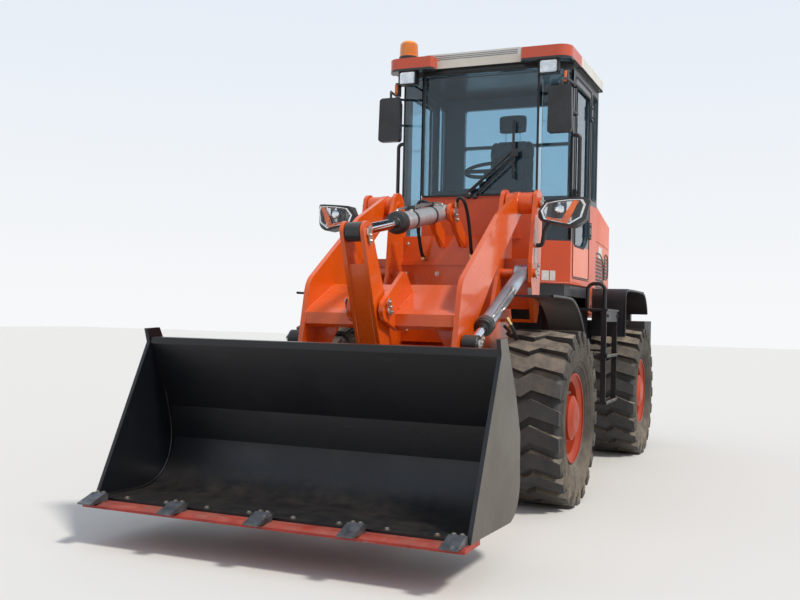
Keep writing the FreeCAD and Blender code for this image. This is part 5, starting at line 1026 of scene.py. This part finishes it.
for side in (1, -1):
    x, y, low, high = side * 0.534, 0.690, 2.852, 2.938
    outline = softened([at(x + dx, y, z)
                        for dx, z in ((-0.060, low), (0.060, low), (0.060, high), (-0.060, high))], 0.014)
    cases.append(edging(outline, (0, -1, 0), -0.008, 0.010))
    bowls.append(dished(outline, [(0.98, 0.001), (0.98, -0.002), (0.60, -0.0005), (0.30, -0.003)]))
    glasses.append(dished(outline, [(0.88, -0.004), (0.88, -0.007), (0.60, -0.009)]))
    cases.append(slab(at(side * 0.640 - 0.014, 0.745, 2.780), at(side * 0.640 + 0.020, 0.790, 2.880),
                      0.006))
    ambers.append(slab(at(side * 0.642 - 0.012, 0.735, 2.790), at(side * 0.642 + 0.012, 0.748, 2.868),
                       0.005))
    cases.append(tube([at(side * 0.640, 0.780, 2.86), at(side * 0.640, 0.86, 2.90),
                       at(side * 0.640, 0.925, 2.90)], 0.008))
    for lamp_low, lamp_high, group in ((0.566, 0.632, ambers), (0.638, 0.704, reds)):
        near, far = sorted((side * lamp_low, side * lamp_high))
        group.append(slab(at(near, 3.299, 1.140), at(far, 3.306, 1.230), 0.003))
piece("lamp_bezels", cases, moulding, "rear_frame")
piece("work_lamp_bowls", bowls, reflector, "rear_frame")
piece("work_lamp_glasses", glasses, lamp_clear, "rear_frame")
piece("tail_reds", reds, tail_red, "rear_frame")
piece("amber_lenses", ambers, signal, "rear_frame")


# Mirrors, rails and wiper: black moulded pods with silvered faces on bent tube, black grab rails, and a
# wiper with two links and a blade.
dress(moulding, "cab_fittings")
silver = finish("mirror_silver", (0.80, 0.83, 0.86), (0.72, 0.75, 0.78), patch=3, grain=20,
                rough=(0.02, 0.05), metal=1.0, bump=0.0)
mirror_faces = []
for side in (1, -1):
    shape = softened([at(side * x, 0.7012, z)
                      for x, z in ((0.572, 2.432), (0.706, 2.432), (0.706, 2.716), (0.572, 2.716))], 0.02)
    mirror_faces.append(dished(shape, [(1, 0), (1, 0.0015)]))
piece("mirror_faces", mirror_faces, silver, "rear_frame")
wiper_parts = [tube([at(-0.072, 0.786, 2.030), at(0.100, 0.771, 2.182), at(0.266, 0.767, 2.330)], 0.0085, 8),
               tube([at(-0.020, 0.786, 2.014), at(0.140, 0.771, 2.158), at(0.294, 0.767, 2.300)], 0.0075, 8),
               slab(at(0.254, 0.760, 2.286), at(0.304, 0.773, 2.340), 0.004),
               turned([(0.0, 0.026), (0.020, 0.026), (0.028, 0.018), (0.030, 0.004)],
                      at(-0.074, 0.799, 2.022), (0, -1, 0), 24),
               turned([(0.0, 0.018), (0.016, 0.018), (0.022, 0.012), (0.023, 0.003)],
                      at(-0.022, 0.799, 2.010), (0, -1, 0), 24),
               slab(at(0.2595, 0.765, 2.132), at(0.2725, 0.7735, 2.548), 0.002)]
piece("wiper_links", wiper_parts, moulding, "rear_frame")


# Operator's seat: blue-grey cloth over moulded foam on a pleated suspension boot, with a separate headrest
# on two steel posts; the covers are sewn in panels, with a channel across and one down each side.
seat_cloth = finish("seat_cloth", (0.062, 0.098, 0.122), (0.046, 0.074, 0.094), patch=9, grain=900,
                    rough=(0.75, 0.92), bump=0.8)
seat_cloth.node_tree.nodes["Principled BSDF"].inputs["Sheen Weight"].default_value = 0.35
seat_cloth.node_tree.nodes["Principled BSDF"].inputs["Sheen Roughness"].default_value = 0.5


def pad_form(centre, half, thick, plan=0.32, edge=0.6, waist=0.05, crown=0.0):
    """Foam blank: a superellipsoid, so each direction is a cosine or sine raised to a power under one. It
    is drawn in at the waist by a share that falls off to its ends, and a parabola crowns its face."""
    lift = np.linspace(-np.pi / 2, np.pi / 2, 36)[:, None]
    turn = np.linspace(0, 2 * np.pi, 72, endpoint=False)[None, :]

    def eased_power(value, power):
        return np.sign(value) * np.abs(value) ** power

    wide = eased_power(np.cos(lift), edge) * eased_power(np.cos(turn), plan)
    long = eased_power(np.cos(lift), edge) * eased_power(np.sin(turn), plan)
    deep = eased_power(np.sin(lift), edge) * np.ones_like(turn)
    wide = wide * (1 - waist * (1 - long ** 2))
    deep = deep + np.where(deep > 0, crown * (1 - wide ** 2) * (1 - long ** 2), 0)
    axes = {"up": (0, 2, 1), "front": (0, 1, 2)}[thick]
    grid = np.stack([wide, -deep if thick == "front" else deep, long], -1)[..., list(axes)]
    return loft(np.asarray(centre, float) + grid * np.asarray(half, float))


NET_SIZE, STUFFING_PRESSURE, STUFFING_FRAMES, CHANNEL_WIDE = 0.006, 4.0, 20, 0.007


def stuffed(name, form, channels, cap=0.016):
    """A foam pad in its cover. The blank gets an even net of 6 mm, is blown up as cloth with no gravity and
    kept within the cap, and each sewn channel then sinks by a bell curve of the distance to its line."""
    mesh = bpy.data.meshes.new(name)
    mesh.from_pydata(form[0].tolist(), [], [face for block in form[1] for face in block.tolist()])
    made = bpy.data.objects.new(name, mesh)
    scene.collection.objects.link(made)
    net = made.modifiers.new("net", "REMESH")
    net.mode, net.voxel_size = "VOXEL", NET_SIZE
    made.data = bpy.data.meshes.new_from_object(made.evaluated_get(bpy.context.evaluated_depsgraph_get()))
    made.modifiers.remove(net)
    start = np.empty(len(made.data.vertices) * 3)
    made.data.vertices.foreach_get("co", start)
    spots = start.reshape(-1, 3)
    blown = made.modifiers.new("blown", "CLOTH")
    blown.settings.use_pressure = True
    blown.settings.uniform_pressure_force = STUFFING_PRESSURE
    blown.settings.effector_weights.gravity = 0.0
    for step in range(1, STUFFING_FRAMES + 1):
        scene.frame_set(step)
    shape = made.evaluated_get(bpy.context.evaluated_depsgraph_get()).to_mesh()
    swollen = np.empty_like(start)
    shape.vertices.foreach_get("co", swollen)
    made.modifiers.remove(blown)
    scene.frame_set(1)
    moved = swollen.reshape(-1, 3) - spots
    far = np.linalg.norm(moved, axis=1, keepdims=True)
    spots = spots + moved * np.minimum(1, cap / np.maximum(far, 1e-9))
    normals = np.empty_like(start)
    made.data.vertices.foreach_get("normal", normals)
    for axis, place, sink in channels:
        depth = sink * np.exp(-((spots[:, axis] - place) / CHANNEL_WIDE) ** 2)
        spots = spots - depth[:, None] * normals.reshape(-1, 3)
    made.data.vertices.foreach_set("co", spots.ravel())
    made.data.update()
    made.data.shade_smooth()
    made.data.materials.append(seat_cloth)
    smooth = made.modifiers.new("smooth", "SUBSURF")
    smooth.levels = smooth.render_levels = 1
    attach(made, "rear_frame")
    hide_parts("seat")
    return made


stuffed("seat_cushion", pad_form(at(0, 1.480, 1.952), (0.224, 0.206, 0.046), "up", waist=0.04, crown=0.2),
        [(0, -0.135, 0.009), (0, 0.135, 0.009), (1, AXLE_Y + 1.560, 0.007)])
stuffed("seat_back", pad_form(at(0, 1.655, 2.262), (0.204, 0.040, 0.318), "front", waist=0.06, crown=0.35),
        [(0, -0.120, 0.009), (0, 0.120, 0.009), (2, 2.170, 0.007), (2, 2.420, 0.007)])
stuffed("seat_headrest",
        pad_form(at(0, 1.662, 2.706), (0.118, 0.028, 0.072), "front", waist=0.05, crown=0.3),
        [(2, 2.668, 0.005)], cap=0.010)
boot = []
for n in range(19):
    spread = 0.138 if n % 2 else 0.118
    corner = softened([at(x, y, 1.520 + n * 0.0165)
                       for x, y in ((-spread, 1.540 - spread), (spread, 1.540 - spread),
                                    (spread, 1.540 + spread), (-spread, 1.540 + spread))], 0.03)
    boot.append(corner)
carrier = [loft(boot), slab(at(-0.150, 1.400, 1.4255), at(0.150, 1.680, 1.515), 0.010),
           slab(at(-0.170, 1.380, 1.825), at(0.170, 1.690, 1.900), 0.012),
           slab(at(0.212, 1.520, 1.860), at(0.236, 1.690, 1.930), 0.008),
           slab(at(-0.236, 1.520, 1.860), at(-0.212, 1.690, 1.930), 0.008)]
for side in (1, -1):
    carrier.append(tube(eased([at(side * 0.224, 1.665, 1.890), at(side * 0.224, 1.690, 1.980),
                               at(side * 0.205, 1.690, 2.10)]), 0.011))
carrier_piece = piece("seat_carrier", carrier, moulding, "rear_frame")
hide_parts("seat")
posts = [tube([at(side * 0.060, 1.668, 2.540), at(side * 0.060, 1.668, 2.690)], 0.006) for side in (1, -1)]
posts_piece = piece("headrest_posts", posts, chrome, "rear_frame")
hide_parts("seat")


# Console: moulded dashboard and steering column, with a hub pad on the wheel, a bare instrument cluster and
# two levers with round knobs.
dash_plastic = finish("dash_plastic", (0.040, 0.058, 0.072), (0.026, 0.038, 0.048), patch=9, grain=600,
                      rough=(0.45, 0.65), bump=0.4)
dress(dash_plastic, "console")
WHEEL_TILT = math.radians(25)
wheel_axis = np.array([0.0, -math.sin(WHEEL_TILT), math.cos(WHEEL_TILT)])
wheel_heart = at(0, 1.090, 2.210)
controls = [turned([(0.0, 0.046), (0.020, 0.052), (0.040, 0.046), (0.048, 0.026), (0.049, 0.004)],
                   wheel_heart - 0.006 * wheel_axis, wheel_axis, 32),
            slab(at(-0.170, 0.905, 2.060), at(0.170, 0.985, 2.088), 0.012)]
for x in (0.262, 0.312):
    controls += [tube(eased([at(x, 0.955, 2.060), at(x, 0.965, 2.110), at(x, 0.985, 2.150)]), 0.006),
                 turned([(0.0, 0.004), (0.004, 0.014), (0.018, 0.020), (0.034, 0.016), (0.042, 0.004)],
                        at(x, 0.982, 2.146), (0, 0.35, 0.94), 20)]
piece("console_trim", controls, dash_plastic, "rear_frame")
